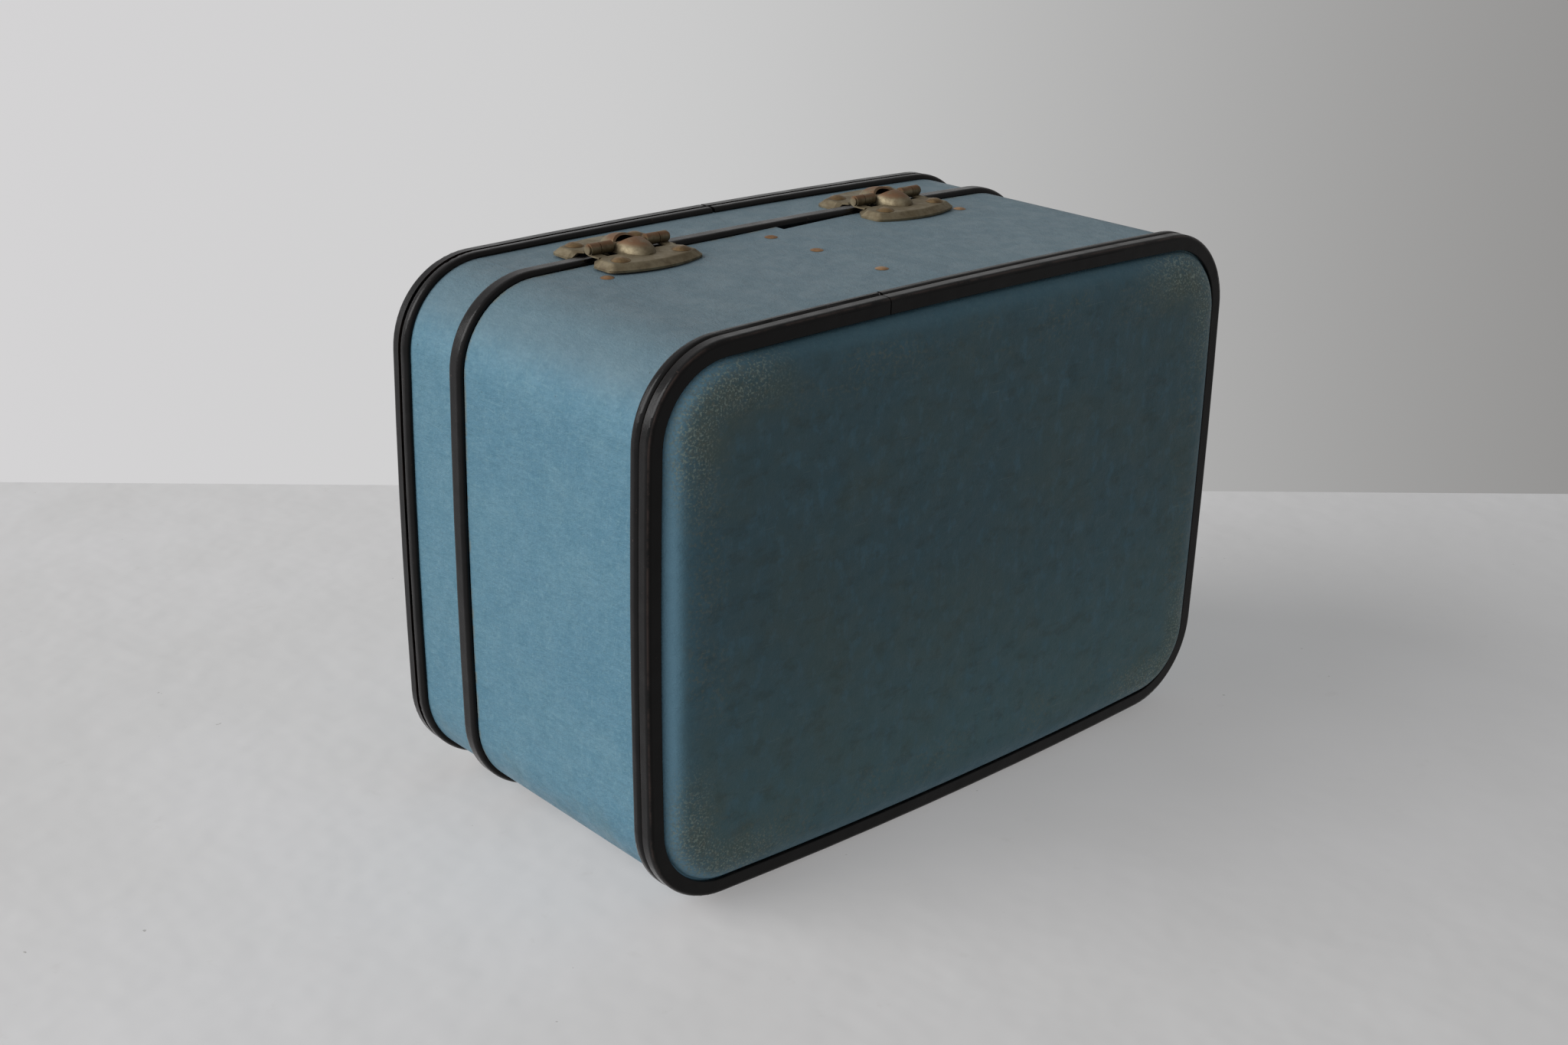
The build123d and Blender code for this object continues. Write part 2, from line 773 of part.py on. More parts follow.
# Lid wall, rim bead, board, welt and lining
with BuildPart() as lid_wall:
    lid_wall_bottom = lid_bottom + rim_lip_thickness + glue_play
    with BuildSketch(Plane.XY.offset(lid_wall_bottom)):
        add(case_outline(wall_inset))
        add(case_outline(wall_inner_inset), mode=Mode.SUBTRACT)
    extrude(amount=lid_flange_bottom - lid_wall_bottom)
    for hole in lid_holes:
        add(hole, mode=Mode.SUBTRACT)
finish(lid_wall.part, "lid_wall")

with BuildPart() as lid_rim_bead:
    with BuildSketch(Plane.XY.offset(lid_bottom)):
        add(case_outline(0))
        add(case_outline(welt_proud), mode=Mode.SUBTRACT)
    extrude(amount=rim_bead_height)
    rim_faces = lid_rim_bead.faces().filter_by(Plane.XY)
    fillet([edge for face in rim_faces for edge in face.outer_wire().edges()], welt_bead_round)
    with BuildSketch(Plane.XY.offset(lid_bottom)):
        add(case_outline(welt_proud - rim_lip_lap))
        add(case_outline(wall_inner_inset), mode=Mode.SUBTRACT)
    extrude(amount=rim_lip_thickness)
finish(lid_rim_bead.part, "lid_rim_bead")

lid_panel = crowned_board(lid_flange_top, lid_flange_bottom, lid_top)
bracket_centres = {"left": -bracket_spacing / 2, "right": bracket_spacing / 2}
bracket_rivet_spots = [
    (centre + offset, 0)
    for centre in bracket_centres.values()
    for offset in (-bracket_rivet_spacing / 2, bracket_rivet_spacing / 2)
]
with BuildPart() as drilled_lid_panel:
    add(lid_panel)
    with BuildSketch(Plane.XY.offset(lid_top + drill_start)):
        with Locations(bracket_rivet_spots):
            Circle(small_shank_radius + rivet_hole_play)
    extrude(amount=-panel_board - drill_overrun, mode=Mode.SUBTRACT)
finish(drilled_lid_panel.part, "lid_panel")

lid_welt = edge_welt(lid_welt_top, -1, lid_joint_x, lid_joint_gap, lid_joint_x, lid_joint_gap)
finish(lid_welt, "lid_welt")

ceiling = lid_flange_bottom - glue_play
ceiling_outer = crowned_form(
    ceiling,
    lid_top - panel_board - glue_play,
    crown_inset + panel_board + glue_play,
    crown_shoulder - panel_board,
)
ceiling_inner = crowned_form(
    ceiling - lining_thickness,
    lid_top - panel_board - glue_play - lining_thickness,
    crown_inset + panel_board + glue_play + lining_thickness,
    crown_shoulder - panel_board,
)
with BuildPart() as lid_lining:
    with BuildSketch(Plane.XY.offset(ceiling)):
        add(case_outline(collar_outer_inset))
    extrude(amount=-lining_thickness)
    add(ceiling_outer)
    add(ceiling_inner, mode=Mode.SUBTRACT)
    with BuildSketch(Plane.XY.offset(ceiling)):
        add(case_outline(collar_outer_inset))
        add(case_outline(collar_outer_inset + lining_thickness), mode=Mode.SUBTRACT)
    extrude(amount=lid_wall_bottom - ceiling)
finish(lid_lining.part, "lid_lining")

# Mirror in a moulded frame on the lid's lining
frame_seat = lid_top - panel_board - 2 * glue_play - lining_thickness
with BuildPart() as mirror_frame:
    with BuildSketch(Plane.XY.offset(frame_seat)):
        RectangleRounded(
            mirror_length + 2 * mirror_frame_width,
            mirror_depth + 2 * mirror_frame_width,
            mirror_corner + mirror_frame_width,
        )
        RectangleRounded(
            mirror_length + 2 * glue_play,
            mirror_depth + 2 * glue_play,
            mirror_corner + glue_play,
            mode=Mode.SUBTRACT,
        )
    extrude(amount=-mirror_thickness - glue_play)
    with BuildSketch(Plane.XY.offset(frame_seat - mirror_thickness - glue_play)):
        RectangleRounded(
            mirror_length + 2 * mirror_frame_width,
            mirror_depth + 2 * mirror_frame_width,
            mirror_corner + mirror_frame_width,
        )
        RectangleRounded(
            mirror_length - 2 * mirror_frame_lip,
            mirror_depth - 2 * mirror_frame_lip,
            mirror_corner - mirror_frame_lip,
            mode=Mode.SUBTRACT,
        )
    extrude(amount=-(mirror_frame_height - mirror_thickness))
    front_face = mirror_frame.faces().filter_by(Plane.XY).sort_by(Axis.Z)[0]
    chamfer(front_face.edges(), (mirror_frame_height - mirror_thickness) * mirror_bevel_share)
finish(mirror_frame.part, "mirror_frame")

with BuildPart() as mirror:
    with BuildSketch(Plane.XY.offset(frame_seat - glue_play / 2)):
        RectangleRounded(mirror_length, mirror_depth, mirror_corner)
    extrude(amount=-mirror_thickness)
finish(mirror.part, "mirror")


def latch_plate(side):
    """Plate on the body with the ears of the hasp's pivot and the post that backs the spring."""
    seat = moved(latch_seat(side), out=glue_play)
    hand = latch_sides[side]
    height = latch_plate_bottom - latch_plate_top
    with BuildPart() as plate:
        with BuildSketch(seat):
            with Locations((0, -(latch_plate_bottom + latch_plate_top) / 2)):
                RectangleRounded(latch_plate_width, height, latch_corner)
        extrude(amount=latch_plate_sheet)
        for ear_hand in (-1, 1):
            ear_start = ear_hand * (hasp_width / 2 + ear_play)
            ear_plane = moved(seat, across=ear_start, up=-latch_pivot_down)
            cross = Plane(origin=ear_plane.origin, x_dir=seat.z_dir, z_dir=seat.x_dir)
            with BuildSketch(cross):
                with Locations((latch_pivot_proud, 0)):
                    Circle(ear_radius)
                with Locations((latch_pivot_proud / 2, 0)):
                    Rectangle(latch_pivot_proud, 2 * ear_radius)
                with Locations((latch_pivot_proud, 0)):
                    Circle(hasp_pin_radius + pin_play, mode=Mode.SUBTRACT)
            extrude(amount=ear_hand * ear_thickness)
        with BuildSketch(moved(seat, across=hand * (post_start + post_size / 2), up=-slide_height)):
            Rectangle(post_size, window_width - 2 * post_side_play)
        extrude(amount=slide_proud + slide_thickness - post_sink)
        for rivet_seat in latch_rivet_seats(side):
            with BuildSketch(moved(rivet_seat, out=drill_start)):
                Circle(small_shank_radius + rivet_hole_play)
            extrude(amount=-3 * latch_plate_sheet, mode=Mode.SUBTRACT)
    return plate.part


def latch_housing(side):
    """Pressed cover over the slide, with a slot for the hasp's catch and an open outer end."""
    seat = moved(latch_seat(side), out=2 * glue_play + latch_plate_sheet)
    hand = latch_sides[side]
    rise = housing_rise - latch_plate_sheet
    middle = -(housing_bottom + housing_top) / 2
    height = housing_bottom - housing_top
    slot_width = catch_stem_width + catch_foot_reach + housing_slot_spare
    slot_middle = hand * ((slot_width - catch_stem_width) / 2 - housing_slot_play)
    with BuildPart() as housing:
        with BuildSketch(moved(seat, up=middle)):
            RectangleRounded(housing_width, height, housing_corner)
        extrude(amount=rise)
        crest = housing.faces().sort_by(Axis(seat.origin, seat.z_dir))[-1]
        fillet(crest.outer_wire().edges(), housing_round)
        with BuildSketch(moved(seat, up=middle)):
            Rectangle(housing_width - 2 * housing_sheet, height - 2 * housing_sheet)
        extrude(amount=rise - housing_sheet, mode=Mode.SUBTRACT)
        with BuildSketch(moved(seat, across=hand * housing_width / 2, up=-slide_height)):
            Rectangle(4 * housing_sheet, slide_width + 2 * slide_play)
        extrude(amount=rise - housing_sheet, mode=Mode.SUBTRACT)
        with BuildSketch(moved(seat, across=slot_middle, up=-slide_height + housing_slot_lift)):
            Rectangle(slot_width, catch_stem_length + housing_slot_spare)
        extrude(amount=2 * rise, mode=Mode.SUBTRACT)
    return housing.part


def latch_slide(side):
    """Slide with its nose over the hasp's catch, the spring's window and a grooved thumb knob."""
    seat = moved(latch_seat(side), up=-slide_height)
    hand = latch_sides[side]
    with BuildPart() as slide:
        with BuildSketch(moved(seat, across=hand * (slide_nose + slide_end) / 2, out=slide_proud)):
            Rectangle(slide_end - slide_nose, slide_width)
        extrude(amount=slide_thickness)
        with BuildSketch(moved(seat, across=hand * (window_start + window_end) / 2, out=slide_proud)):
            Rectangle(window_end - window_start, window_width)
        extrude(amount=slide_thickness, mode=Mode.SUBTRACT)
        knob_middle = hand * (knob_start + knob_length / 2)
        knob_seat = moved(seat, across=knob_middle, out=slide_proud + slide_thickness)
        with BuildSketch(knob_seat):
            RectangleRounded(knob_length, knob_width, knob_corner)
        extrude(amount=knob_rise, taper=knob_taper)
        for groove in (-1, 0, 1):
            with BuildSketch(moved(knob_seat, across=groove * 3 * knob_groove, out=knob_rise)):
                Rectangle(knob_groove, knob_width)
            extrude(amount=-knob_groove, mode=Mode.SUBTRACT)
    return slide.part


def latch_spring(side):
    """Folded strip spring between the end of the slide's window and the plate's post."""
    hand = latch_sides[side]
    seat = moved(latch_seat(side), up=-slide_height, out=slide_proud + spring_side_play)
    start = window_start + glue_play
    pitch = (post_start - glue_play - start) / spring_folds
    folds = range(spring_folds + 1)
    crests = [(start + fold * pitch, spring_half_span * (-1) ** fold) for fold in folds]
    outward = [(hand * x, y - spring_strip / 2) for x, y in crests]
    return_run = [(hand * x, y + spring_strip / 2) for x, y in reversed(crests)]
    with BuildPart() as spring:
        with BuildSketch(seat):
            with BuildLine():
                Polyline(*outward, *return_run, close=True)
            make_face()
        extrude(amount=slide_thickness - 2 * spring_side_play)
    return spring.part


def latch_hasp(side):
    """Hasp: a bowed strap with a rolled pivot, a lip over the keeper and a catch for the slide."""
    seat = moved(latch_seat(side), out=glue_play)
    hand = latch_sides[side]
    strap_out = latch_pivot_proud + hasp_barrel_radius
    strap_in = strap_out - hasp_sheet
    middle = (hasp_reach - latch_pivot_down) / 2
    cross = Plane(origin=seat.origin, x_dir=seat.z_dir, z_dir=seat.x_dir)
    upward = 1 if cross.y_dir.Z > 0 else -1
    bottom = -upward * latch_pivot_down
    top = upward * (hasp_lip_height + hasp_lip_thickness)
    tip_out = (strap_out + hasp_tip_lift, upward * hasp_reach)
    tip_in = (strap_out + hasp_tip_lift - hasp_sheet, upward * (hasp_reach + hasp_tip_slope))
    with BuildPart() as hasp:
        with BuildSketch(cross):
            with BuildLine():
                ThreePointArc(
                    (strap_out, bottom), (strap_out + hasp_bow, upward * middle), (strap_out, top)
                )
                Polyline((strap_out, top), tip_out, tip_in, (strap_in, top))
                ThreePointArc(
                    (strap_in, top), (strap_in + hasp_bow, upward * middle), (strap_in, bottom)
                )
                Line((strap_in, bottom), (strap_out, bottom))
            make_face()
        extrude(amount=hasp_width / 2, both=True)
        # Face outline: parallel sides that narrow to a rounded tip
        half = hasp_width / 2
        half_tip = hasp_tip_width / 2
        tip_start = hasp_reach - hasp_tip_length
        side_end = -latch_pivot_down - hasp_side_lap
        with BuildSketch(seat):
            with BuildLine():
                Polyline(
                    (-half_tip, tip_start),
                    (-half, hasp_side_top),
                    (-half, side_end),
                    (half, side_end),
                    (half, hasp_side_top),
                    (half_tip, tip_start),
                )
                tip_crest = (0, tip_start + hasp_tip_crown)
                ThreePointArc((half_tip, tip_start), tip_crest, (-half_tip, tip_start))
            make_face()
        extrude(amount=3 * strap_out, mode=Mode.INTERSECT)
        with BuildSketch(cross):
            with Locations((latch_pivot_proud, bottom)):
                Circle(hasp_barrel_radius)
        extrude(amount=hasp_width / 2, both=True)
        with BuildSketch(cross):
            with Locations((latch_pivot_proud, bottom)):
                Circle(hasp_pin_radius + pin_play)
        extrude(amount=hasp_width, both=True, mode=Mode.SUBTRACT)
        # Lip that hooks over the keeper's rib
        lip_in = latch_plate_sheet + hasp_lip_gap
        with BuildSketch(moved(seat, up=hasp_lip_height + hasp_lip_thickness / 2, out=lip_in)):
            Rectangle(hasp_lip_width, hasp_lip_thickness)
        extrude(amount=strap_in + hasp_lip_root - lip_in)
        # Catch that reaches through the housing under the slide's nose
        foot_in = latch_plate_sheet + 3 * glue_play
        stem_seat = moved(seat, up=-slide_height, out=foot_in)
        with BuildSketch(stem_seat):
            Rectangle(catch_stem_width, catch_stem_length)
        extrude(amount=strap_in + catch_root - foot_in)
        with BuildSketch(moved(stem_seat, across=hand * (catch_stem_width + catch_foot_reach) / 2)):
            Rectangle(catch_foot_reach, catch_stem_length)
        extrude(amount=catch_foot_thickness)
    return hasp.part


def hasp_pin(side):
    """Pin of a hasp, riveted over outside the ears."""
    seat = moved(latch_seat(side), up=-latch_pivot_down, out=latch_pivot_proud + glue_play)
    across = Plane(origin=seat.origin, x_dir=seat.z_dir, z_dir=seat.x_dir)
    half_length = hasp_width / 2 + ear_play + ear_thickness + glue_play
    with BuildPart() as pin:
        with BuildSketch(across):
            Circle(hasp_pin_radius)
        extrude(amount=half_length, both=True)
        for hand in (-1, 1):
            with BuildSketch(across.offset(hand * half_length)):
                Circle(hasp_pin_head_radius)
            extrude(amount=hand * hasp_pin_head_length)
    return pin.part


def latch_keeper(side):
    """Keeper on the lid: a plate with the raised rib that the hasp's lip hooks over."""
    seat = moved(latch_seat(side), out=glue_play)
    height = keeper_top - keeper_bottom
    with BuildPart() as keeper:
        with BuildSketch(moved(seat, up=(keeper_top + keeper_bottom) / 2)):
            RectangleRounded(keeper_width, height, latch_corner)
        extrude(amount=latch_plate_sheet)
        rib_seat = moved(seat, up=(keeper_rib_bottom + keeper_rib_top) / 2, out=latch_plate_sheet)
        with BuildSketch(rib_seat):
            RectangleRounded(keeper_rib_width, keeper_rib_top - keeper_rib_bottom, keeper_rib_corner)
        extrude(amount=keeper_rib_rise, taper=keeper_rib_taper)
        for rivet_seat in keeper_rivet_seats(side):
            with BuildSketch(moved(rivet_seat, out=drill_start)):
                Circle(small_shank_radius + rivet_hole_play)
            extrude(amount=-3 * latch_plate_sheet, mode=Mode.SUBTRACT)
    return keeper.part


for side in latch_sides:
    finish(latch_plate(side), f"latch_plate_{side}")
    finish(latch_housing(side), f"latch_housing_{side}")
    finish(latch_slide(side), f"latch_slide_{side}")
    finish(latch_spring(side), f"latch_spring_{side}")
    finish(latch_hasp(side), f"latch_hasp_{side}")
    finish(hasp_pin(side), f"hasp_pin_{side}")
    finish(latch_keeper(side), f"latch_keeper_{side}")

plate_rivets = []
keeper_rivets = []
for side in latch_sides:
    for seat in latch_rivet_seats(side):
        raised = moved(seat, out=2 * glue_play)
        grip = latch_plate_sheet + collar_grip + 2 * glue_play
        plate_rivets.append(
            rivet(raised, latch_head_radius, small_head_height, small_shank_radius, grip, tail=True)
        )
    for seat in keeper_rivet_seats(side):
        raised = moved(seat, out=2 * glue_play)
        grip = latch_plate_sheet + wall_board + glue_play
        keeper_rivets.append(
            rivet(raised, latch_head_radius, small_head_height, small_shank_radius, grip)
        )
finish(gathered(plate_rivets), "latch_plate_rivets")
finish(gathered(keeper_rivets), "latch_keeper_rivets")

# Handle: a padded grip on two wire loops, stored lying towards the front of the lid
handle_axis_z = lid_top + handle_axis_rise
cap_half_thickness = cap_swell * grip_end_taper * grip_half_thickness + cap_sheet + cap_overhang
cap_centre_height = grip_centre_height - grip_end_drop
lean_for_grip = (grip_half_thickness + grip_rest_gap - handle_axis_rise) / grip_centre_height
lean_for_cap = (cap_half_thickness + grip_rest_gap - handle_axis_rise) / cap_centre_height
rest_lean = asin(max(lean_for_grip, lean_for_cap))
reach_dir = Vector(0, -cos(rest_lean), sin(rest_lean))


def handle_station(x, height):
    """Plane across the handle at this x, its own x pointing away from the handle's axis."""
    centre = Vector(x, 0, handle_axis_z) + reach_dir * height
    return Plane(origin=centre, x_dir=reach_dir, z_dir=(1, 0, 0))


def grip_height(x):
    """Distance of the grip's middle line from the handle's axis."""
    return grip_centre_height - grip_end_drop * (x / grip_half_length) ** 2


def grip_share(x):
    """Share of the full section that the grip has at this x."""
    return 1 - (1 - grip_end_taper) * (x / grip_half_length) ** 2


grip_stations = [share * grip_half_length for share in (-1, -0.5, 0, 0.5, 1)]
with BuildPart() as handle_grip:
    for x in grip_stations:
        with BuildSketch(handle_station(x, grip_height(x))):
            Ellipse(grip_half_width * grip_share(x), grip_half_thickness * grip_share(x))
    loft()
finish(handle_grip.part, "handle_grip")


def handle_cap(side):
    """Metal ferrule over one end of the grip, with the lug that the wire loop passes through."""
    hand = latch_sides[side]
    start = grip_half_length - cap_lap
    lug_x = hand * bracket_spacing / 2
    with BuildPart() as cap:
        for share, along in ((1.0, 0.0), (cap_swell, cap_swell_at), (cap_end_share, 1.0)):
            size = share * grip_end_taper
            x = start + along * cap_length
            with BuildSketch(handle_station(hand * x, grip_height(min(x, grip_half_length)))):
                Ellipse(
                    grip_half_width * size + cap_sheet + cap_overhang,
                    grip_half_thickness * size + cap_sheet + cap_overhang,
                )
        loft()
        lug_top = grip_height(grip_half_length)
        with BuildSketch(handle_station(lug_x - lug_width / 2, 0)):
            with BuildLine():
                Polyline(
                    (loop_height, -lug_half_thickness),
                    (lug_top, -lug_half_thickness),
                    (lug_top, lug_half_thickness),
                    (loop_height, lug_half_thickness),
                )
                ThreePointArc(
                    (loop_height, lug_half_thickness),
                    (loop_height - lug_half_thickness, 0),
                    (loop_height, -lug_half_thickness),
                )
            make_face()
        extrude(amount=lug_width)
        with BuildSketch(handle_station(lug_x - lug_width, 0)):
            with Locations((loop_height, 0)):
                Circle(loop_wire_radius + loop_play)
        extrude(amount=2 * lug_width, mode=Mode.SUBTRACT)
        add(handle_grip.part, mode=Mode.SUBTRACT)
    return cap.part


def handle_loop(side):
    """Closed wire loop that joins a bracket to the grip's lug."""
    middle = latch_sides[side] * bracket_spacing / 2
    along = Vector(1, 0, 0)
    flat = Plane(origin=(middle, 0, handle_axis_z), x_dir=along, z_dir=along.cross(reach_dir))
    with BuildPart() as loop:
        with BuildLine(flat) as path:
            Polyline(
                (loop_half_width, 0),
                (loop_half_width, loop_height),
                (-loop_half_width, loop_height),
                (-loop_half_width, 0),
                close=True,
            )
            fillet(path.vertices(), loop_corner)
        with BuildSketch(Plane(origin=path.line @ 0, z_dir=path.line % 0)):
            Circle(loop_wire_radius)
        sweep()
    return loop.part


def handle_bracket(side):
    """Bracket on the lid: a plate with a barrel for the wire loop."""
    middle = bracket_centres[side]
    barrel_rise = handle_axis_rise - glue_play
    rivet_spots = [spot for spot in bracket_rivet_spots if abs(spot[0] - middle) < bracket_length]
    with BuildPart() as bracket:
        with BuildSketch(Plane.XY.offset(lid_top + glue_play)):
            with Locations((middle, 0)):
                RectangleRounded(bracket_length, bracket_width, bracket_corner)
        extrude(amount=bracket_sheet)
        foot = (middle, 0, lid_top + glue_play)
        with BuildSketch(Plane(origin=foot, x_dir=(0, 1, 0), z_dir=(1, 0, 0))):
            with Locations((0, barrel_rise)):
                Circle(bracket_barrel_radius)
            with Locations((0, barrel_rise / 2)):
                Rectangle(2 * bracket_barrel_radius, barrel_rise)
            with Locations((0, barrel_rise)):
                Circle(loop_wire_radius + loop_play, mode=Mode.SUBTRACT)
        extrude(amount=loop_half_width - loop_corner - bracket_loop_gap, both=True)
        with BuildSketch(Plane.XY.offset(lid_top + bracket_sheet + drill_start)):
            with Locations(rivet_spots):
                Circle(small_shank_radius + rivet_hole_play)
        extrude(amount=-3 * bracket_sheet, mode=Mode.SUBTRACT)
    return bracket.part


for side in latch_sides:
    finish(handle_cap(side), f"handle_cap_{side}")
    finish(handle_loop(side), f"handle_loop_{side}")
    finish(handle_bracket(side), f"handle_bracket_{side}")

bracket_rivets = []
for x, y in bracket_rivet_spots:
    top = lid_top + bracket_sheet + 2 * glue_play
    seat = Plane(origin=(x, y, top), x_dir=(1, 0, 0), z_dir=(0, 0, 1))
    grip = bracket_sheet + panel_board + 2 * glue_play
    bracket_rivets.append(rivet(seat, small_head_radius, small_head_height, small_shank_radius, grip))
finish(gathered(bracket_rivets), "handle_bracket_rivets")
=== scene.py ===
"""Looks of the vanity case round its CAD frame: finishes, springs, stitches, stage, lamps and camera.

Sizes are in millimetres and angles in degrees, apart from the places and distances of the studio,
which are in metres.
"""

import logging
import math
from dataclasses import dataclass, field
from enum import Enum
from typing import Optional, Sequence, Union

import bmesh
import bpy
from mathutils import Matrix, Vector


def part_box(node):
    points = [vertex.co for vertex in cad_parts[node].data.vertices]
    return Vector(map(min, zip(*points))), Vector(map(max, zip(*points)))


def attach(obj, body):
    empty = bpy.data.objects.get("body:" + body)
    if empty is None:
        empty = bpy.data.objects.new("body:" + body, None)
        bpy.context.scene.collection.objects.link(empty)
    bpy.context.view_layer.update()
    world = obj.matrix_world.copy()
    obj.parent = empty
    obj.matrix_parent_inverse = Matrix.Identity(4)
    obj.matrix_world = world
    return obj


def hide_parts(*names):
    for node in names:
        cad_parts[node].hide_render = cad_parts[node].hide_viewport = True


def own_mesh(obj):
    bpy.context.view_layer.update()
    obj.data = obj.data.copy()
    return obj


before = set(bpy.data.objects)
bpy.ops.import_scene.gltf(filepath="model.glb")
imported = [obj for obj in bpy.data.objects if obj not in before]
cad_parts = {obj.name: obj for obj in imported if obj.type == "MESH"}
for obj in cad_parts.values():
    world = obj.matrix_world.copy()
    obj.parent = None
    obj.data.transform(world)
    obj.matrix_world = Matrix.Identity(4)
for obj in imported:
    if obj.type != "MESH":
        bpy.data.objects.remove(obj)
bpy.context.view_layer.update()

LOG = logging.getLogger("vanity_case")
MM = 0.001

Socket = bpy.types.NodeSocket
Value = Union[Socket, float, Sequence[float]]
Inputs = dict[Union[int, str], Value]
Colour = tuple[float, float, float, float]
Span = tuple[float, float]
Scales = tuple[float, float, float]
# Distances, rising, each with the strength of a mask there
Stops = tuple[Span, ...]
SIDES = ("left", "right")
EVEN: Scales = (1.0, 1.0, 1.0)
# Noise values between which a bump rises over most of its height
BUMP_EDGES: Span = (0.2, 0.8)
NOISE_ROUGHNESS = 0.65
# A wave texture multiplies its place by this before it takes the sine
WAVE_GAIN = 10


def linear(code: str) -> Colour:
    """Turn an sRGB hex colour into Blender's linear one.

    Args:
        code: Colour as "#rrggbb".

    Returns:
        Linear red, green and blue, and an alpha of 1.
    """
    channels = [int(code[start : start + 2], 16) / 255 for start in (1, 3, 5)]
    # The sRGB curve is a straight line near black and a power above it
    red, green, blue = (c / 12.92 if c <= 0.04045 else ((c + 0.055) / 1.055) ** 2.4 for c in channels)
    return red, green, blue, 1.0


@dataclass(frozen=True)
class Coat:
    """One colour laid over those under it, as far as its masks let it show."""

    colour: str
    share: float
    masks: tuple[Socket, ...] = ()


@dataclass(frozen=True)
class Patches:
    """Irregular patches: their width, and the noise values between which they fade in.

    Detail is how ragged they are, and stretch scales them along, across and up the case.
    """

    size: float
    edges: Span = BUMP_EDGES
    detail: float = 4.0
    stretch: Scales = EVEN


class Shading:
    """Nodes of one finish. Its patterns lie in Object coordinates, so in real metres."""

    def __init__(self, tree: bpy.types.NodeTree) -> None:
        """Empty the tree.

        Args:
            tree: Node tree of a material or of the world.
        """
        self.tree = tree
        tree.nodes.clear()

    def add(
        self,
        kind: str,
        inputs: Optional[Inputs] = None,
        out: Union[int, str] = 0,
        **settings: object,
    ) -> Socket:
        """Add a node with its settings and links.

        Args:
            kind: Blender's name of the node.
            inputs: Number, colour or socket for each input that isn't left alone.
            out: Which of its outputs is wanted.
            settings: Attributes of the node.

        Returns:
            The wanted output, or nothing for a node that has none.
        """
        node = self.tree.nodes.new(kind)
        for key, value in settings.items():
            setattr(node, key, value)
        for key, value in (inputs or {}).items():
            if isinstance(value, Socket):
                self.tree.links.new(value, node.inputs[key])
            else:
                node.inputs[key].default_value = value
        return node.outputs[out] if node.outputs else None

    def place(self, stretch: Scales = EVEN) -> Socket:
        """Give the position on the piece, scaled on each axis where a pattern has a grain.

        Args:
            stretch: Scales along, across and up the case.

        Returns:
            The position.
        """
        position = self.add("ShaderNodeTexCoord", out="Object")
        return self.add("ShaderNodeMapping", {"Vector": position, "Scale": stretch})

    def reach(self, axis: str) -> Socket:
        """Give the place of the surface on one axis of the case, in metres."""
        return self.add("ShaderNodeSeparateXYZ", {0: self.add("ShaderNodeTexCoord", out="Object")}, out=axis)

    def patches(self, pattern: Patches) -> Socket:
        """Mask of irregular patches.

        Args:
            pattern: Their size and form.

        Returns:
            The mask.
        """
        inputs = {
            "Vector": self.place(pattern.stretch),
            "Scale": 1 / (pattern.size * MM),
            "Detail": pattern.detail,
            "Roughness": NOISE_ROUGHNESS,
        }
        noise = self.add("ShaderNodeTexNoise", inputs)
        faded = {"Value": noise, "From Min": pattern.edges[0], "From Max": pattern.edges[1]}
        return self.add("ShaderNodeMapRange", faded, interpolation_type="SMOOTHSTEP")

    def profile(self, measure: Socket, stops: Stops) -> Socket:
        """Mask that follows a measure of the piece, easing from stop to stop.

        Args:
            measure: Distance in metres.
            stops: Where the mask has which strength.

        Returns:
            The mask.
        """
        low, high = stops[0][0], stops[-1][0]
        reach = {"Value": measure, "From Min": low * MM, "From Max": high * MM}
        share = self.add("ShaderNodeMapRange", reach)
        mask = self.add("ShaderNodeValToRGB", {0: share})
        tones = mask.node.color_ramp
        tones.interpolation = "EASE"
        tones.elements[0].color = (stops[0][1],) * 3 + (1.0,)
        tones.elements[-1].color = (stops[-1][1],) * 3 + (1.0,)
        for distance, strength in stops[1:-1]:
            tones.elements.new((distance - low) / (high - low)).color = (strength,) * 3 + (1.0,)
        return mask

    def coated(self, base: str, coats: Sequence[Coat]) -> Socket:
        """Lay coats over a base colour in order.

        Args:
            base: Colour under the coats.
            coats: The coats.

        Returns:
            The colour.
        """
        under: Value = linear(base)
        for coat in coats:
            share: Value = coat.share
            for mask in coat.masks:
                share = self.add("ShaderNodeMath", {0: share, 1: mask}, operation="MULTIPLY")
            inputs = {0: share, 6: under, 7: linear(coat.colour)}
            under = self.add("ShaderNodeMix", inputs, out=2, data_type="RGBA")
        return under


@dataclass(frozen=True)
class Finish:
    """What a surface is made of, and how it was made and has worn."""

    name: str

    def surface(self, g: Shading) -> Inputs:
        """Give the inputs of the principled shader; each finish has its own."""
        raise NotImplementedError(self.name)

    def shader(self, g: Shading) -> Socket:
        """Give the shader, which is the principled one unless a finish says otherwise."""
        return g.add("ShaderNodeBsdfPrincipled", self.surface(g))

    def material(self) -> bpy.types.Material:
        """Make the material.

        Returns:
            The material, with all its nodes.
        """
        material = bpy.data.materials.new(self.name)
        material.use_nodes = True
        g = Shading(material.node_tree)
        g.add("ShaderNodeOutputMaterial", {0: self.shader(g)})
        LOG.info("finish %s", self.name)
        return material


class Place(Enum):
    """Where a leathercloth surface is, which settles how it has worn."""

    WALL = "wall"
    BOTTOM = "bottom"
    LID_TOP = "lid_top"


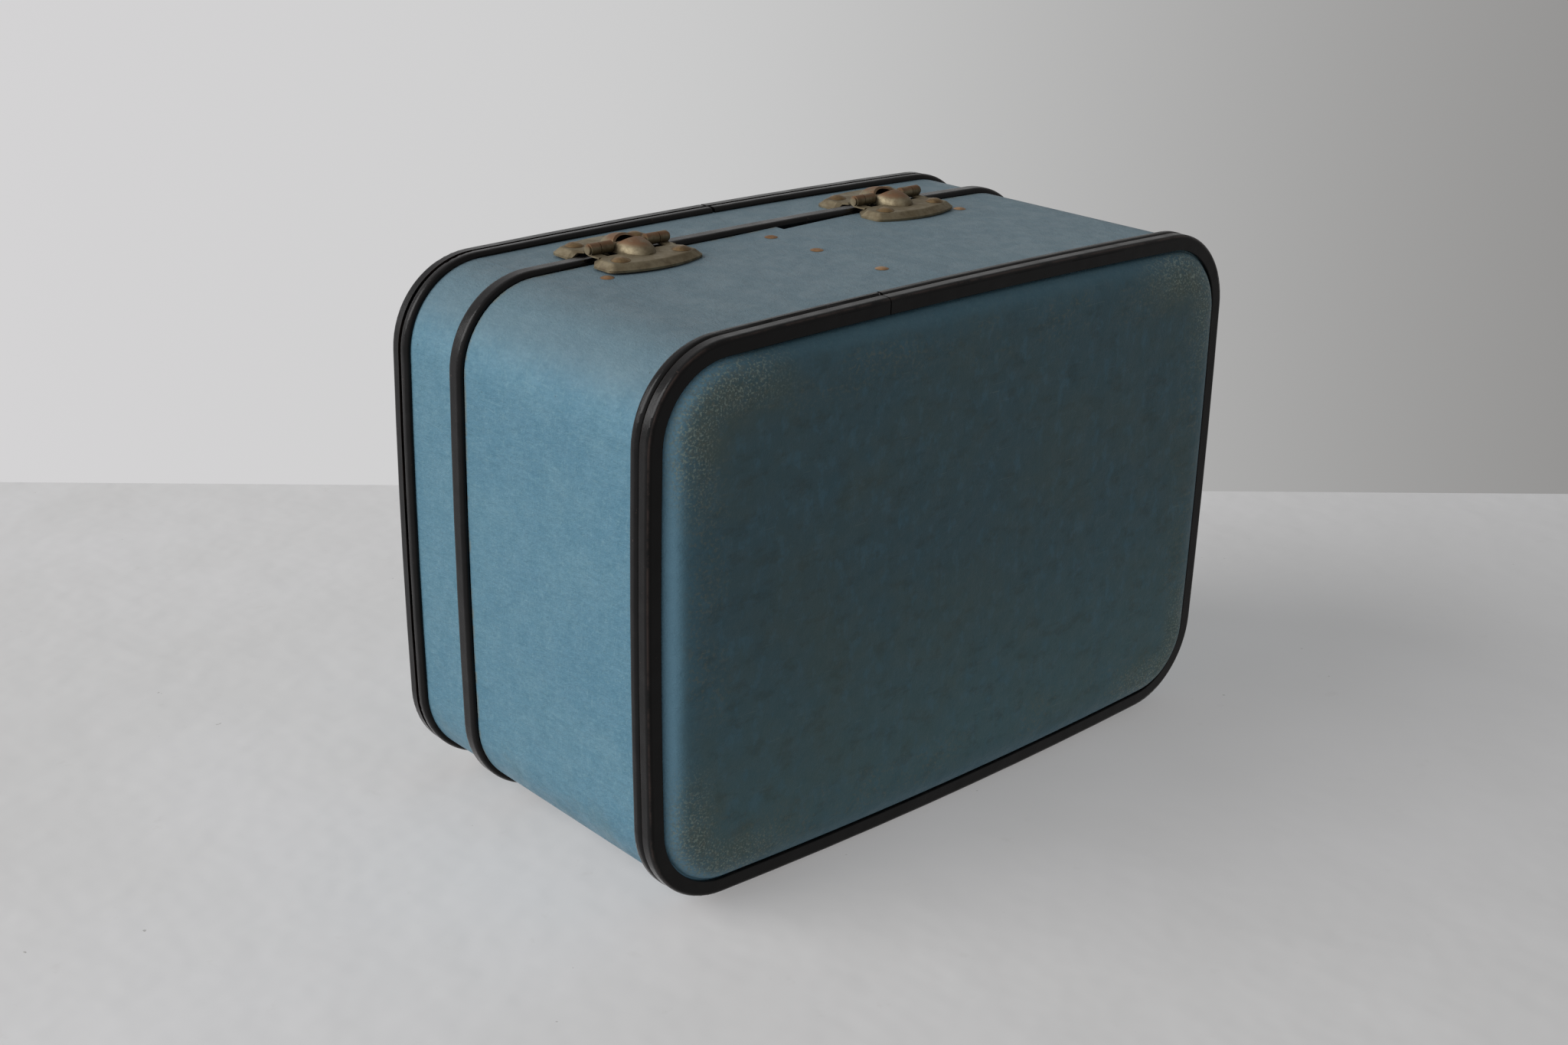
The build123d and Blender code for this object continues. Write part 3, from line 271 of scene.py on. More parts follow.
@dataclass(frozen=True)
class Leathercloth(Finish):
    """Cloth coated with blue cellulose and embossed like hide, glued over fibreboard.

    The coating is soft and half matt, with curly darker and paler fibres under it. Dust greys the
    back, grime darkens the face that the case stands on, and the shoulders have rubbed through.
    """

    place: Place
    blue: str = "#6290a6"
    pale: str = "#82a9b5"
    # Light blue of the painted highlight on the shoulder at the +X end
    highlight_blue: str = "#90c0d8"
    deep: str = "#467489"
    dust: str = "#6c777b"
    grime: str = "#506b72"
    brown: str = "#67705f"
    teal: str = "#6b9094"
    tan: str = "#85887a"
    chalk: str = "#acbbb0"
    speck: str = "#3c463f"
    roughness: Span = (0.48, 0.64)
    # Half of the length and depth of the case's plan, and the radius of its corners
    half_plan: Span = (164.2, 113.6)
    corner: float = 36.0

    # The cloth itself. The real fibres are about 0.4 mm wide, and are drawn coarser so that they show
    mottle: Patches = Patches(9.0, (0.35, 0.66))
    dark_areas: Patches = Patches(9.0, (0.40, 0.64))
    pale_areas: Patches = Patches(42.0, (0.36, 0.66), 2.0)
    deep_fibres: Patches = Patches(1.0, (0.36, 0.64), 5.0, (1.0, 0.6, 0.34))
    level_fibres: Patches = Patches(1.0, (0.52, 0.66), 5.0, (0.34, 0.4, 1.0))
    upright_fibres: Patches = Patches(1.0, (0.54, 0.66), 5.0, (1.0, 1.0, 0.22))
    specks: Patches = Patches(2.6, (0.765, 0.785), 2.0)
    buckles: Patches = Patches(30.0, detail=2.0)
    buckle_depth: float = 0.5
    hide: Patches = Patches(3.2, (0.30, 0.70), 5.0, (1.0, 1.0, 0.45))
    hide_depth: float = 0.16
    grain: Patches = Patches(0.7, detail=3.0)
    grain_depth: float = 0.1

    # Wear of a wall: dust from a depth on, the edge that the lid rubs, and stains low on the front
    dusty_back: Stops = ((84.0, 0.0), (104.0, 0.75), (113.0, 1.0))
    rubbed_edge: Stops = ((123.4, 0.0), (124.9, 1.0), (127.0, 0.0))
    stained_front: Stops = ((-112.0, 1.0), (-60.0, 0.0))
    stains: Patches = Patches(16.0, (0.48, 0.66))
    rubs: Patches = Patches(6.0, (0.42, 0.6))

    # Wear of a panel, by its inset from the rim, and by length and depth. The strip along the rim at
    # the +X end is painted lighter: a painted highlight of the shoulder that turns to the light
    lid_share: float = 0.3
    near_corner: Stops = ((-38.0, 0.0), (4.0, 1.0))
    grimed: Stops = ((8.0, 0.0), (14.0, 0.6), (22.0, 1.0))
    soiled_length: Stops = ((112.0, 1.0), (150.0, 0.0))
    # Where along the length, and how far in from the rim, the painted highlight lies
    highlight_end: Stops = ((112.0, 0.0), (150.0, 1.0))
    highlight_rim: Stops = ((5.0, 1.0), (8.0, 0.9), (15.0, 0.0))
    faded_front: Stops = ((-112.0, 1.0), (20.0, 0.0))
    ring: Stops = ((10.0, 0.0), (17.0, 1.0), (26.0, 0.8), (38.0, 0.0))
    chafed: Stops = ((5.0, 0.0), (10.0, 1.0), (18.0, 0.9), (30.0, 0.0))
    blue_flecks: Patches = Patches(6.0, (0.50, 0.66), 6.0, (1.0, 0.6, 1.0))
    dark_flecks: Patches = Patches(8.0, (0.50, 0.66), 6.0, (0.6, 1.0, 1.0))
    brown_clouds: Patches = Patches(60.0, (0.40, 0.66))
    deep_clouds: Patches = Patches(34.0, (0.50, 0.74))
    corner_soil: Patches = Patches(14.0, (0.34, 0.60))
    ring_crazes: Patches = Patches(2.0, (0.50, 0.62), 7.0)
    ring_runs: Patches = Patches(42.0, (0.42, 0.56))
    chafes: Patches = Patches(1.4, (0.44, 0.60), 6.0)
    bare_dots: Patches = Patches(1.0, (0.53, 0.60))
    pinholes: Patches = Patches(1.3, (0.70, 0.74))
    scratches: Patches = Patches(0.9, (0.69, 0.73), 2.0, (0.035, 1.0, 1.0))

    def inset(self, g: Shading) -> tuple[Socket, Socket]:
        """Measure how far inside the case's rounded plan the surface is.

        Args:
            g: Nodes of the finish.

        Returns:
            The inset in metres, and a mask of the four corners.
        """
        over = []
        near = []
        for axis, half in zip("XY", self.half_plan):
            size = g.add("ShaderNodeMath", {0: g.reach(axis)}, operation="ABSOLUTE")
            straight = (half - self.corner) * MM
            over.append(g.add("ShaderNodeMath", {0: size, 1: straight}, operation="SUBTRACT"))
            near.append(g.profile(over[-1], self.near_corner))
        outer = [g.add("ShaderNodeMath", {0: value, 1: 0.0}, operation="MAXIMUM") for value in over]
        across = g.add("ShaderNodeCombineXYZ", {0: outer[0], 1: outer[1]})
        round_part = g.add("ShaderNodeVectorMath", {0: across}, out="Value", operation="LENGTH")
        most = g.add("ShaderNodeMath", {0: over[0], 1: over[1]}, operation="MAXIMUM")
        flat_part = g.add("ShaderNodeMath", {0: most, 1: 0.0}, operation="MINIMUM")
        both = g.add("ShaderNodeMath", {0: round_part, 1: flat_part}, operation="ADD")
        inset = g.add("ShaderNodeMath", {0: self.corner * MM, 1: both}, operation="SUBTRACT")
        return inset, g.add("ShaderNodeMath", {0: near[0], 1: near[1]}, operation="MULTIPLY")

    def wall_wear(self, g: Shading) -> list[Coat]:
        """Work out the dust and wear of a wall.

        Args:
            g: Nodes of the finish.

        Returns:
            The coats that show them.
        """
        settled = g.profile(g.reach("Y"), self.dusty_back)
        rubbed = g.profile(g.reach("Z"), self.rubbed_edge)
        low = g.profile(g.reach("Y"), self.stained_front)
        return [
            Coat(self.dust, 0.68, (settled,)),
            Coat(self.brown, 0.25, (low, g.patches(self.stains))),
            Coat(self.tan, 0.6, (rubbed, g.patches(self.rubs))),
        ]

    def panel_wear(self, g: Shading) -> list[Coat]:
        """Work out the grime, wear and painted highlight of the bottom or of the lid's top.

        Args:
            g: Nodes of the finish.

        Returns:
            The coats that show them.
        """
        whole = 1.0 if self.place is Place.BOTTOM else self.lid_share
        inset, corners = self.inset(g)
        flat = g.profile(inset, self.grimed)
        soiled = g.profile(g.reach("X"), self.soiled_length)
        # Masks of the painted highlight on the rim at the +X end
        end = g.profile(g.reach("X"), self.highlight_end)
        rim = g.profile(inset, self.highlight_rim)
        faded = g.profile(g.reach("Y"), self.faded_front)
        ring = g.profile(inset, self.ring)
        chafed = g.profile(inset, self.chafed)
        return [
            Coat(self.grime, 0.55 * whole, (soiled,)),
            # Painted highlight: a lighter strip on the shoulder at the +X end
            Coat(self.highlight_blue, 0.95 * whole, (rim, end)),
            Coat(self.grime, 0.82 * whole, (flat,)),
            Coat(self.teal, 0.50 * whole, (flat, faded)),
            Coat(self.blue, 0.30 * whole, (flat, g.patches(self.blue_flecks))),
            Coat(self.speck, 0.30 * whole, (flat, g.patches(self.dark_flecks))),
            Coat(self.brown, 0.26 * whole, (flat, g.patches(self.brown_clouds))),
            Coat(self.deep, 0.20 * whole, (flat, g.patches(self.deep_clouds))),
            Coat(self.brown, 0.40 * whole, (ring, corners, g.patches(self.corner_soil))),
            Coat(self.tan, 0.50 * whole, (ring, g.patches(self.ring_crazes), g.patches(self.ring_runs))),
            Coat(self.tan, 0.50 * whole, (chafed, corners, g.patches(self.chafes))),
            Coat(self.chalk, 0.85 * whole, (chafed, corners, g.patches(self.bare_dots))),
            Coat(self.chalk, 0.22 * whole, (g.patches(self.pinholes),)),
            Coat(self.chalk, 0.20 * whole, (g.patches(self.scratches),)),
        ]

    def surface(self, g: Shading) -> Inputs:
        """Mottle, wear and emboss the cloth.

        Args:
            g: Nodes of the finish.

        Returns:
            The shader's inputs.
        """
        wear = self.wall_wear(g) if self.place is Place.WALL else self.panel_wear(g)
        coats = [
            Coat(self.pale, 0.22, (g.patches(self.pale_areas),)),
            Coat(self.deep, 0.14, (g.patches(self.dark_areas),)),
            Coat(self.deep, 0.34, (g.patches(self.deep_fibres),)),
            Coat(self.pale, 0.34, (g.patches(self.level_fibres),)),
            Coat(self.pale, 0.30, (g.patches(self.upright_fibres),)),
            *wear,
            Coat(self.speck, 0.7, (g.patches(self.specks),)),
        ]
        gloss = {"Value": g.patches(self.mottle), "To Min": self.roughness[0], "To Max": self.roughness[1]}
        buckle = {"Height": g.patches(self.buckles), "Distance": self.buckle_depth * MM}
        buckled = g.add("ShaderNodeBump", buckle)
        hide = {"Height": g.patches(self.hide), "Distance": self.hide_depth * MM, "Normal": buckled}
        hided = g.add("ShaderNodeBump", hide)
        grain = {"Height": g.patches(self.grain), "Distance": self.grain_depth * MM, "Normal": hided}
        return {
            "Base Color": g.coated(self.blue, coats),
            "Roughness": g.add("ShaderNodeMapRange", gloss),
            "Normal": g.add("ShaderNodeBump", grain),
            "Specular IOR Level": 0.32,
            "Sheen Weight": 0.06,
        }


@dataclass(frozen=True)
class WeltVinyl(Finish):
    """Extruded black PVC trim: glossy where it is round, dull and brown on the flat band.

    The crest beside the flat band carries a painted highlight, a paler line, and dirt has gathered in
    the groove, at the heights given. Inward is 1 where the band lies under the crest, -1 where it lies
    over it, and 0 for a trim without a band.
    """

    crest: float = 0.0
    groove: float = 0.0
    inward: int = 0
    black: str = "#0a0909"
    faded: str = "#141212"
    band: str = "#1a1616"
    # Paler colour of the scuffs, and of the painted highlight along the crest
    rubbed: str = "#69554e"
    dirt: str = "#3c2f2a"
    roughness: Span = (0.16, 0.32)

    # How far from the crest the flat band's tone is full and ends, and half the width of the crest's
    # painted highlight and of the groove's line of dirt
    band_reach: Span = (3.0, 1.2)
    crest_half: float = 0.5
    groove_half: float = 0.9
    smears: Patches = Patches(15.0, (0.34, 0.70))
    scuffs: Patches = Patches(2.6, (0.66, 0.72), 6.0)
    # Patches in which the painted highlight along the crest shows
    crest_highlight_patches: Patches = Patches(9.0, (0.34, 0.56))
    groove_dirt: Patches = Patches(22.0, (0.36, 0.56))
    waves: Patches = Patches(24.0, detail=2.0)
    wave_depth: float = 0.25
    skin: Patches = Patches(0.9)
    skin_depth: float = 0.02

    def band_tone_highlight_and_dirt(self, g: Shading) -> list[Coat]:
        """Work out the tone of the flat band, the painted highlight along the crest and the dirt in the
        groove.

        Args:
            g: Nodes of the finish.

        Returns:
            The coats that show it.
        """
        height = g.reach("Z")
        under, over = self.band_reach
        low, high = sorted((self.crest - under * self.inward, self.crest + over * self.inward))
        on_band = ((low, 1.0), (high, 0.0)) if self.inward > 0 else ((low, 0.0), (high, 1.0))
        lines = []
        for middle, half in ((self.crest, self.crest_half), (self.groove, self.groove_half)):
            stops = ((middle - half, 0.0), (middle, 1.0), (middle + half, 0.0))
            lines.append(g.profile(height, stops))
        return [
            Coat(self.band, 0.8, (g.profile(height, on_band),)),
            # Painted highlight: a paler line along the crest
            Coat(self.rubbed, 0.32, (lines[0], g.patches(self.crest_highlight_patches))),
            Coat(self.dirt, 0.7, (lines[1], g.patches(self.groove_dirt))),
        ]

    def surface(self, g: Shading) -> Inputs:
        """Smear and scuff the trim, and paint a highlight along its crest.

        Args:
            g: Nodes of the finish.

        Returns:
            The shader's inputs.
        """
        smears = g.patches(self.smears)
        coats = [Coat(self.faded, 1.0, (smears,)), Coat(self.rubbed, 0.30, (g.patches(self.scuffs),))]
        if self.inward:
            coats += self.band_tone_highlight_and_dirt(g)
        gloss = {"Value": smears, "To Min": self.roughness[0], "To Max": self.roughness[1]}
        wave = {"Height": g.patches(self.waves), "Distance": self.wave_depth * MM}
        waved = g.add("ShaderNodeBump", wave)
        skin = {"Height": g.patches(self.skin), "Distance": self.skin_depth * MM, "Normal": waved}
        return {
            "Base Color": g.coated(self.black, coats),
            "Roughness": g.add("ShaderNodeMapRange", gloss),
            "Normal": g.add("ShaderNodeBump", skin),
            "Specular IOR Level": 0.22,
        }


@dataclass(frozen=True)
class Plating(Finish):
    """Pressed steel with a thin plating, tarnished and stained, half glossy.

    Where it stands proud, the plating has rubbed through to the copper under it.
    """

    bright: str
    dull: str
    stain: str
    stain_share: float = 0.5
    copper: str = "#806049"
    # Depths on the case from which the plating starts to wear through, and where it is worn most
    proud: Optional[Span] = None
    roughness: Span = (0.36, 0.54)
    tarnish: Patches = Patches(7.0, (0.36, 0.64))
    stains: Patches = Patches(4.5, (0.50, 0.68), 6.0)
    spots: Patches = Patches(1.4, (0.62, 0.70))
    rubs: Patches = Patches(5.0, (0.30, 0.50))
    pit_depth: float = 0.015
    scratches: Patches = Patches(0.5, detail=2.0, stretch=(0.12, 1.0, 1.0))
    scratch_depth: float = 0.012

    def surface(self, g: Shading) -> Inputs:
        """Tarnish and scratch the plating.

        Args:
            g: Nodes of the finish.

        Returns:
            The shader's inputs.
        """
        tarnish = g.patches(self.tarnish)
        coats = [
            Coat(self.dull, 1.0, (tarnish,)),
            Coat(self.stain, self.stain_share, (g.patches(self.stains),)),
            Coat(self.stain, 0.6, (g.patches(self.spots),)),
        ]
        if self.proud:
            worn = g.profile(g.reach("Y"), ((self.proud[0], 0.0), (self.proud[1], 1.0)))
            coats.append(Coat(self.copper, 0.85, (worn, g.patches(self.rubs))))
        gloss = {"Value": tarnish, "To Min": self.roughness[0], "To Max": self.roughness[1]}
        pitted = g.add("ShaderNodeBump", {"Height": tarnish, "Distance": self.pit_depth * MM})
        scratches = g.patches(self.scratches)
        scratch = {"Height": scratches, "Distance": self.scratch_depth * MM, "Normal": pitted}
        return {
            "Base Color": g.coated(self.bright, coats),
            "Metallic": 1.0,
            "Roughness": g.add("ShaderNodeMapRange", gloss),
            "Normal": g.add("ShaderNodeBump", scratch),
        }


@dataclass(frozen=True)
class LiningPaper(Finish):
    """Embossed lining paper: matt, pale grey-blue, with fine ribs, foxed with age."""

    paper: str = "#b9bfbf"
    shade: str = "#8f9a9f"
    foxing: str = "#a59f8c"
    # The real ribs are about 0.6 mm apart, and are drawn wider so that they show
    rib: float = 1.6
    rib_depth: float = 0.1
    rib_wobble: float = 0.5
    fox_marks: Patches = Patches(26.0, (0.50, 0.74))
    tooth: Patches = Patches(0.8)
    tooth_depth: float = 0.05

    def surface(self, g: Shading) -> Inputs:
        """Rib and fox the paper.

        Args:
            g: Nodes of the finish.

        Returns:
            The shader's inputs.
        """
        scale = math.pi / (self.rib * WAVE_GAIN * MM)
        wave = {"Vector": g.place(), "Scale": scale, "Distortion": self.rib_wobble}
        ribs = g.add("ShaderNodeTexWave", wave, out=1, bands_direction="DIAGONAL")
        coats = [Coat(self.foxing, 0.45, (g.patches(self.fox_marks),)), Coat(self.shade, 0.3, (ribs,))]
        ribbed = g.add("ShaderNodeBump", {"Height": ribs, "Distance": self.rib_depth * MM})
        tooth = {"Height": g.patches(self.tooth), "Distance": self.tooth_depth * MM, "Normal": ribbed}
        return {
            "Base Color": g.coated(self.paper, coats),
            "Roughness": 0.82,
            "Normal": g.add("ShaderNodeBump", tooth),
        }


@dataclass(frozen=True)
class Strawboard(Finish):
    """Pressed strawboard: grey, dry and fibrous, its top edge rubbed tan by the lid."""

    board: str = "#a7aba7"
    fibre: str = "#939896"
    rubbed: str = "#b3a78f"
    # Heights between which the collar's top edge shows more and more wear
    top_edge: Stops = ((132.5, 0.0), (136.6, 1.0))
    fibres: Patches = Patches(1.6, (0.36, 0.64), 5.0, (0.3, 0.3, 1.0))
    fibre_depth: float = 0.06
    rubs: Patches = Patches(5.0, (0.38, 0.6))

    def surface(self, g: Shading) -> Inputs:
        """Draw the fibres and the rubbed edge.

        Args:
            g: Nodes of the finish.

        Returns:
            The shader's inputs.
        """
        fibres = g.patches(self.fibres)
        top = g.profile(g.reach("Z"), self.top_edge)
        coats = [Coat(self.fibre, 0.8, (fibres,)), Coat(self.rubbed, 0.9, (top, g.patches(self.rubs)))]
        return {
            "Base Color": g.coated(self.board, coats),
            "Roughness": 0.78,
            "Normal": g.add("ShaderNodeBump", {"Height": fibres, "Distance": self.fibre_depth * MM}),
        }


@dataclass(frozen=True)
class MouldedPolystyrene(Finish):
    """Ivory moulded polystyrene: smooth and half glossy, with the mould's faint texture, yellowed."""

    ivory: str = "#c9c2ad"
    yellowed: str = "#b6ab90"
    roughness: Span = (0.36, 0.48)
    haze: Patches = Patches(22.0, (0.3, 0.7))
    texture: Patches = Patches(0.9)
    texture_depth: float = 0.015

    def surface(self, g: Shading) -> Inputs:
        """Yellow the plastic.

        Args:
            g: Nodes of the finish.

        Returns:
            The shader's inputs.
        """
        haze = g.patches(self.haze)
        gloss = {"Value": haze, "To Min": self.roughness[0], "To Max": self.roughness[1]}
        texture = {"Height": g.patches(self.texture), "Distance": self.texture_depth * MM}
        return {
            "Base Color": g.coated(self.ivory, [Coat(self.yellowed, 1.0, (haze,))]),
            "Roughness": g.add("ShaderNodeMapRange", gloss),
            "Normal": g.add("ShaderNodeBump", texture),
        }


@dataclass(frozen=True)
class SilveredGlass(Finish):
    """Silvered float glass: clear in the middle, hazed by handling, its silver blackened at the edge."""

    silver: str = "#e6e9e8"
    blackened: str = "#6a6864"
    # Half of the glass's length and width, and how far in from its edge the black reaches
    half_size: Span = (112.0, 66.0)
    border: float = 5.0
    roughness: Span = (0.02, 0.09)
    haze: Patches = Patches(30.0, (0.4, 0.8))
    blots: Patches = Patches(2.5, (0.40, 0.62))

    def surface(self, g: Shading) -> Inputs:
        """Haze the glass and blacken its edge.

        Args:
            g: Nodes of the finish.

        Returns:
            The shader's inputs.
        """
        sides = []
        for axis, half in zip("XY", self.half_size):
            size = g.add("ShaderNodeMath", {0: g.reach(axis)}, operation="ABSOLUTE")
            sides.append(g.profile(size, ((half - self.border, 0.0), (half, 1.0))))
        edge = g.add("ShaderNodeMath", {0: sides[0], 1: sides[1]}, operation="MAXIMUM")
        gloss = {"Value": g.patches(self.haze), "To Min": self.roughness[0], "To Max": self.roughness[1]}
        return {
            "Base Color": g.coated(self.silver, [Coat(self.blackened, 0.8, (edge, g.patches(self.blots)))]),
            "Metallic": 1.0,
            "Roughness": g.add("ShaderNodeMapRange", gloss),
        }


@dataclass(frozen=True)
class GrainedVinyl(Finish):
    """Black vinyl sheet pebbled like hide: half matt, and polished where the hand holds it."""

    black: str = "#171414"
    worn: str = "#2a2524"
    # The real pebbles are about 0.8 mm across, and are drawn larger so that they show
    pebble: float = 1.4
    pebble_depth: float = 0.14
    # Roughness away from the hand and under it, and where along the grip the hand holds it
    roughness: Span = (0.54, 0.38)
    held: Stops = ((-50.0, 0.0), (-20.0, 1.0), (20.0, 1.0), (50.0, 0.0))
    wear_marks: Patches = Patches(9.0, (0.36, 0.7))

    def surface(self, g: Shading) -> Inputs:
        """Pebble and polish the vinyl.

        Args:
            g: Nodes of the finish.

        Returns:
            The shader's inputs.
        """
        pebbles = g.add("ShaderNodeTexVoronoi", {"Vector": g.place(), "Scale": 1 / (self.pebble * MM)})
        held = g.profile(g.reach("X"), self.held)
        gloss = {"Value": held, "To Min": self.roughness[0], "To Max": self.roughness[1]}
        return {
            "Base Color": g.coated(self.black, [Coat(self.worn, 1.0, (g.patches(self.wear_marks),))]),
            "Roughness": g.add("ShaderNodeMapRange", gloss),
            "Normal": g.add("ShaderNodeBump", {"Height": pebbles, "Distance": self.pebble_depth * MM}),
            "Specular IOR Level": 0.4,
        }


@dataclass(frozen=True)
class WaxedThread(Finish):
    """Waxed linen thread: dark brown, matt, with the slant of its two plies."""

    dark: str = "#2a2523"
    light: str = "#4a4039"
    # Distance between the plies along the thread
    twist: float = 0.8
    ply_depth: float = 0.05

    def surface(self, g: Shading) -> Inputs:
        """Twist the plies.

        Args:
            g: Nodes of the finish.

        Returns:
            The shader's inputs.
        """
        wave = {"Vector": g.place(), "Scale": math.pi / (self.twist * WAVE_GAIN * MM)}
        plies = g.add("ShaderNodeTexWave", wave, out=1, bands_direction="DIAGONAL")
        return {
            "Base Color": g.coated(self.dark, [Coat(self.light, 1.0, (plies,))]),
            "Roughness": 0.7,
            "Normal": g.add("ShaderNodeBump", {"Height": plies, "Distance": self.ply_depth * MM}),
        }


@dataclass(frozen=True)
class StagePaper(Finish):
    """Off-white background paper: matt, faintly buckled and specked, seen from its front only.

    Part of its tone gives light of its own, so that shadows stay as soft as the room makes them.
    """

    right: Vector
    pale: str = "#e4e2e1"
    bright: str = "#ebe9e9"
    stain: str = "#c3beb7"
    speck: str = "#8d8780"
    far_tone: str = "#c6c5c5"
    even_share: float = 0.34
    # Distances to the right of the middle between which the paper falls into shade
    shaded: Stops = ((-550.0, 0.0), (950.0, 1.0))
    light_areas: Patches = Patches(260.0, (0.35, 0.70), 3.0)
    smudges: Patches = Patches(16.0, (0.64, 0.74), 5.0)
    specks: Patches = Patches(5.0, (0.775, 0.79), 2.0)
    buckles: Patches = Patches(70.0, detail=3.0)
    buckle_depth: float = 1.0

    def shader(self, g: Shading) -> Socket:
        """Tone the paper, and let the camera see through its back.

        Args:
            g: Nodes of the finish.

        Returns:
            The shader.
        """
        dot = {0: g.place(), 1: self.right}
        across = g.add("ShaderNodeVectorMath", dot, out="Value", operation="DOT_PRODUCT")
        coats = [
            Coat(self.bright, 1.0, (g.patches(self.light_areas),)),
            Coat(self.stain, 0.12, (g.patches(self.smudges),)),
            Coat(self.speck, 0.5, (g.patches(self.specks),)),
            Coat(self.far_tone, 0.85, (g.profile(across, self.shaded),)),
        ]
        tone = g.coated(self.pale, coats)
        buckle = {"Height": g.patches(self.buckles), "Distance": self.buckle_depth * MM}
        buckled = g.add("ShaderNodeBump", buckle)
        matt = g.add("ShaderNodeBsdfDiffuse", {"Color": tone, "Normal": buckled})
        even = g.add("ShaderNodeEmission", {"Color": tone})
        lit = g.add("ShaderNodeMixShader", {0: self.even_share, 1: matt, 2: even})
        clear = g.add("ShaderNodeBsdfTransparent")
        behind = g.add("ShaderNodeNewGeometry", out="Backfacing")
        return g.add("ShaderNodeMixShader", {0: behind, 1: lit, 2: clear})


class SubAssembly:
    """Pieces of the case that are made and dressed together."""

    def wear(
        self,
        material: bpy.types.Material,
        singles: Sequence[str] = (),
        pairs: Sequence[str] = (),
    ) -> None:
        """Put a material on CAD nodes.

        Args:
            material: The material.
            singles: Names of nodes that come once.
            pairs: Names of nodes that come left and right, without their side.
        """
        sided = [f"{pair}_{side}" for pair in pairs for side in SIDES]
        for node in [*singles, *sided]:
            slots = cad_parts[node].data.materials
            slots.clear()
            slots.append(material)
            LOG.info("%s wears %s", node, material.name)


@dataclass
class BodyShell(SubAssembly):
    """Leathercloth box with its bottom, welt, lining, collar and the rivets of its seam."""

    # Heights of the welt's crest and of the groove above it
    welt_crest: float = 6.1
    welt_groove: float = 11.1

    def dress(
        self,
        wall: bpy.types.Material,
        paper: bpy.types.Material,
        rivet: bpy.types.Material,
    ) -> None:
        """Dress the body.

        Args:
            wall: Leathercloth of the walls.
            paper: Lining paper.
            rivet: Finish of the small rivets.
        """
        self.wear(wall, ["body_wall"])
        self.wear(Leathercloth("leathercloth_bottom", Place.BOTTOM).material(), ["bottom_panel"])
        welt = WeltVinyl("pvc_body_welt", self.welt_crest, self.welt_groove, inward=1)
        self.wear(welt.material(), ["body_welt"])
        self.wear(paper, ["body_lining"])
        self.wear(Strawboard("strawboard_collar").material(), ["body_collar"])
        self.wear(rivet, ["seam_rivets", "collar_rivets"])


@dataclass
class LidShell(SubAssembly):
    """Leathercloth lid with its top, welt, rim bead, lining and framed mirror."""

    # Heights of the welt's crest and of the groove under it
    welt_crest: float = 175.0
    welt_groove: float = 170.0

    def dress(self, wall: bpy.types.Material, paper: bpy.types.Material) -> None:
        """Dress the lid.

        Args:
            wall: Leathercloth of the walls.
            paper: Lining paper.
        """
        self.wear(wall, ["lid_wall"])
        self.wear(Leathercloth("leathercloth_lid", Place.LID_TOP).material(), ["lid_panel"])
        welt = WeltVinyl("pvc_lid_welt", self.welt_crest, self.welt_groove, inward=-1)
        self.wear(welt.material(), ["lid_welt"])
        self.wear(WeltVinyl("pvc_rim_bead").material(), ["lid_rim_bead"])
        self.wear(paper, ["lid_lining"])
        self.wear(MouldedPolystyrene("polystyrene_mirror_frame").material(), ["mirror_frame"])
        self.wear(SilveredGlass("silvered_glass").material(), ["mirror"])


@dataclass
class Hinges(SubAssembly):
    """The two domed stop hinges on the back."""

    # Depth on the case at which the domes begin and stand proudest
    dome_start: float = 118.9
    dome_crown: float = 120.6

    def dress(self) -> None:
        """Dress the leaves, pins and rivet heads."""
        # Brass plating gone dull and grey-brown with handling, and rubbed to copper on the domes
        leaf = Plating(
            "brassed_hinge",
            bright="#8b816b",
            dull="#786d58",
            stain="#5a4d3f",
            stain_share=0.4,
            proud=(self.dome_start, self.dome_crown),
            roughness=(0.52, 0.68),
        )
        self.wear(leaf.material(), pairs=["hinge_body_leaf", "hinge_lid_leaf", "hinge_pin"])
        # Rivet heads that have browned more than the leaves, and are glossier
        rivet = Plating("browned_hinge_rivet", bright="#8b7452", dull="#6f5a42", stain="#4b3b2d")
        self.wear(rivet.material(), ["hinge_body_rivets", "hinge_lid_rivets"])


@dataclass
class Latches(SubAssembly):
    """The two spring latches on the front, with their hasps and keepers."""

    fixed: tuple[str, ...] = ("latch_plate", "latch_housing", "latch_keeper")
    moving: tuple[str, ...] = ("latch_slide", "latch_hasp", "hasp_pin")
    # Distance within which the corners of the spring's triangles are one
    weld: float = 0.001

    def build(self, side: str) -> bpy.types.Object:
        """Stand a welded copy of the spring in for the CAD one, riding with the body.

        Args:
            side: Which latch.

        Returns:
            The spring, whose outer end stays against the plate's post.
        """
        node = f"latch_spring_{side}"
        made = bmesh.new()
        made.from_mesh(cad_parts[node].data)
        bmesh.ops.remove_doubles(made, verts=made.verts, dist=self.weld * MM)
        bmesh.ops.recalc_face_normals(made, faces=made.faces)
        mesh = bpy.data.meshes.new(f"folding_spring_{side}")
        made.to_mesh(mesh)
        made.free()
        mesh.materials.clear()
        spring = bpy.data.objects.new(mesh.name, mesh)
        bpy.context.collection.objects.link(spring)
        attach(spring, "body")
        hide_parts(node)
        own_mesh(spring)
        return spring

    def dress(self, brass: bpy.types.Material) -> None:
        """Dress the latches and fit their springs.

        Args:
            brass: Plating of the pressed fittings.
        """
        self.wear(brass, ["latch_plate_rivets", "latch_keeper_rivets"], self.fixed + self.moving)
        # Tempered strip without plating: cool grey, bright, with a few dark spots
        steel = Plating("spring_steel", "#9b9ea2", "#7c7f83", "#4b4c50", stain_share=0.1).material()
        for side in SIDES:
            self.build(side).data.materials.append(steel)
        self.wear(steel, pairs=["latch_spring"])


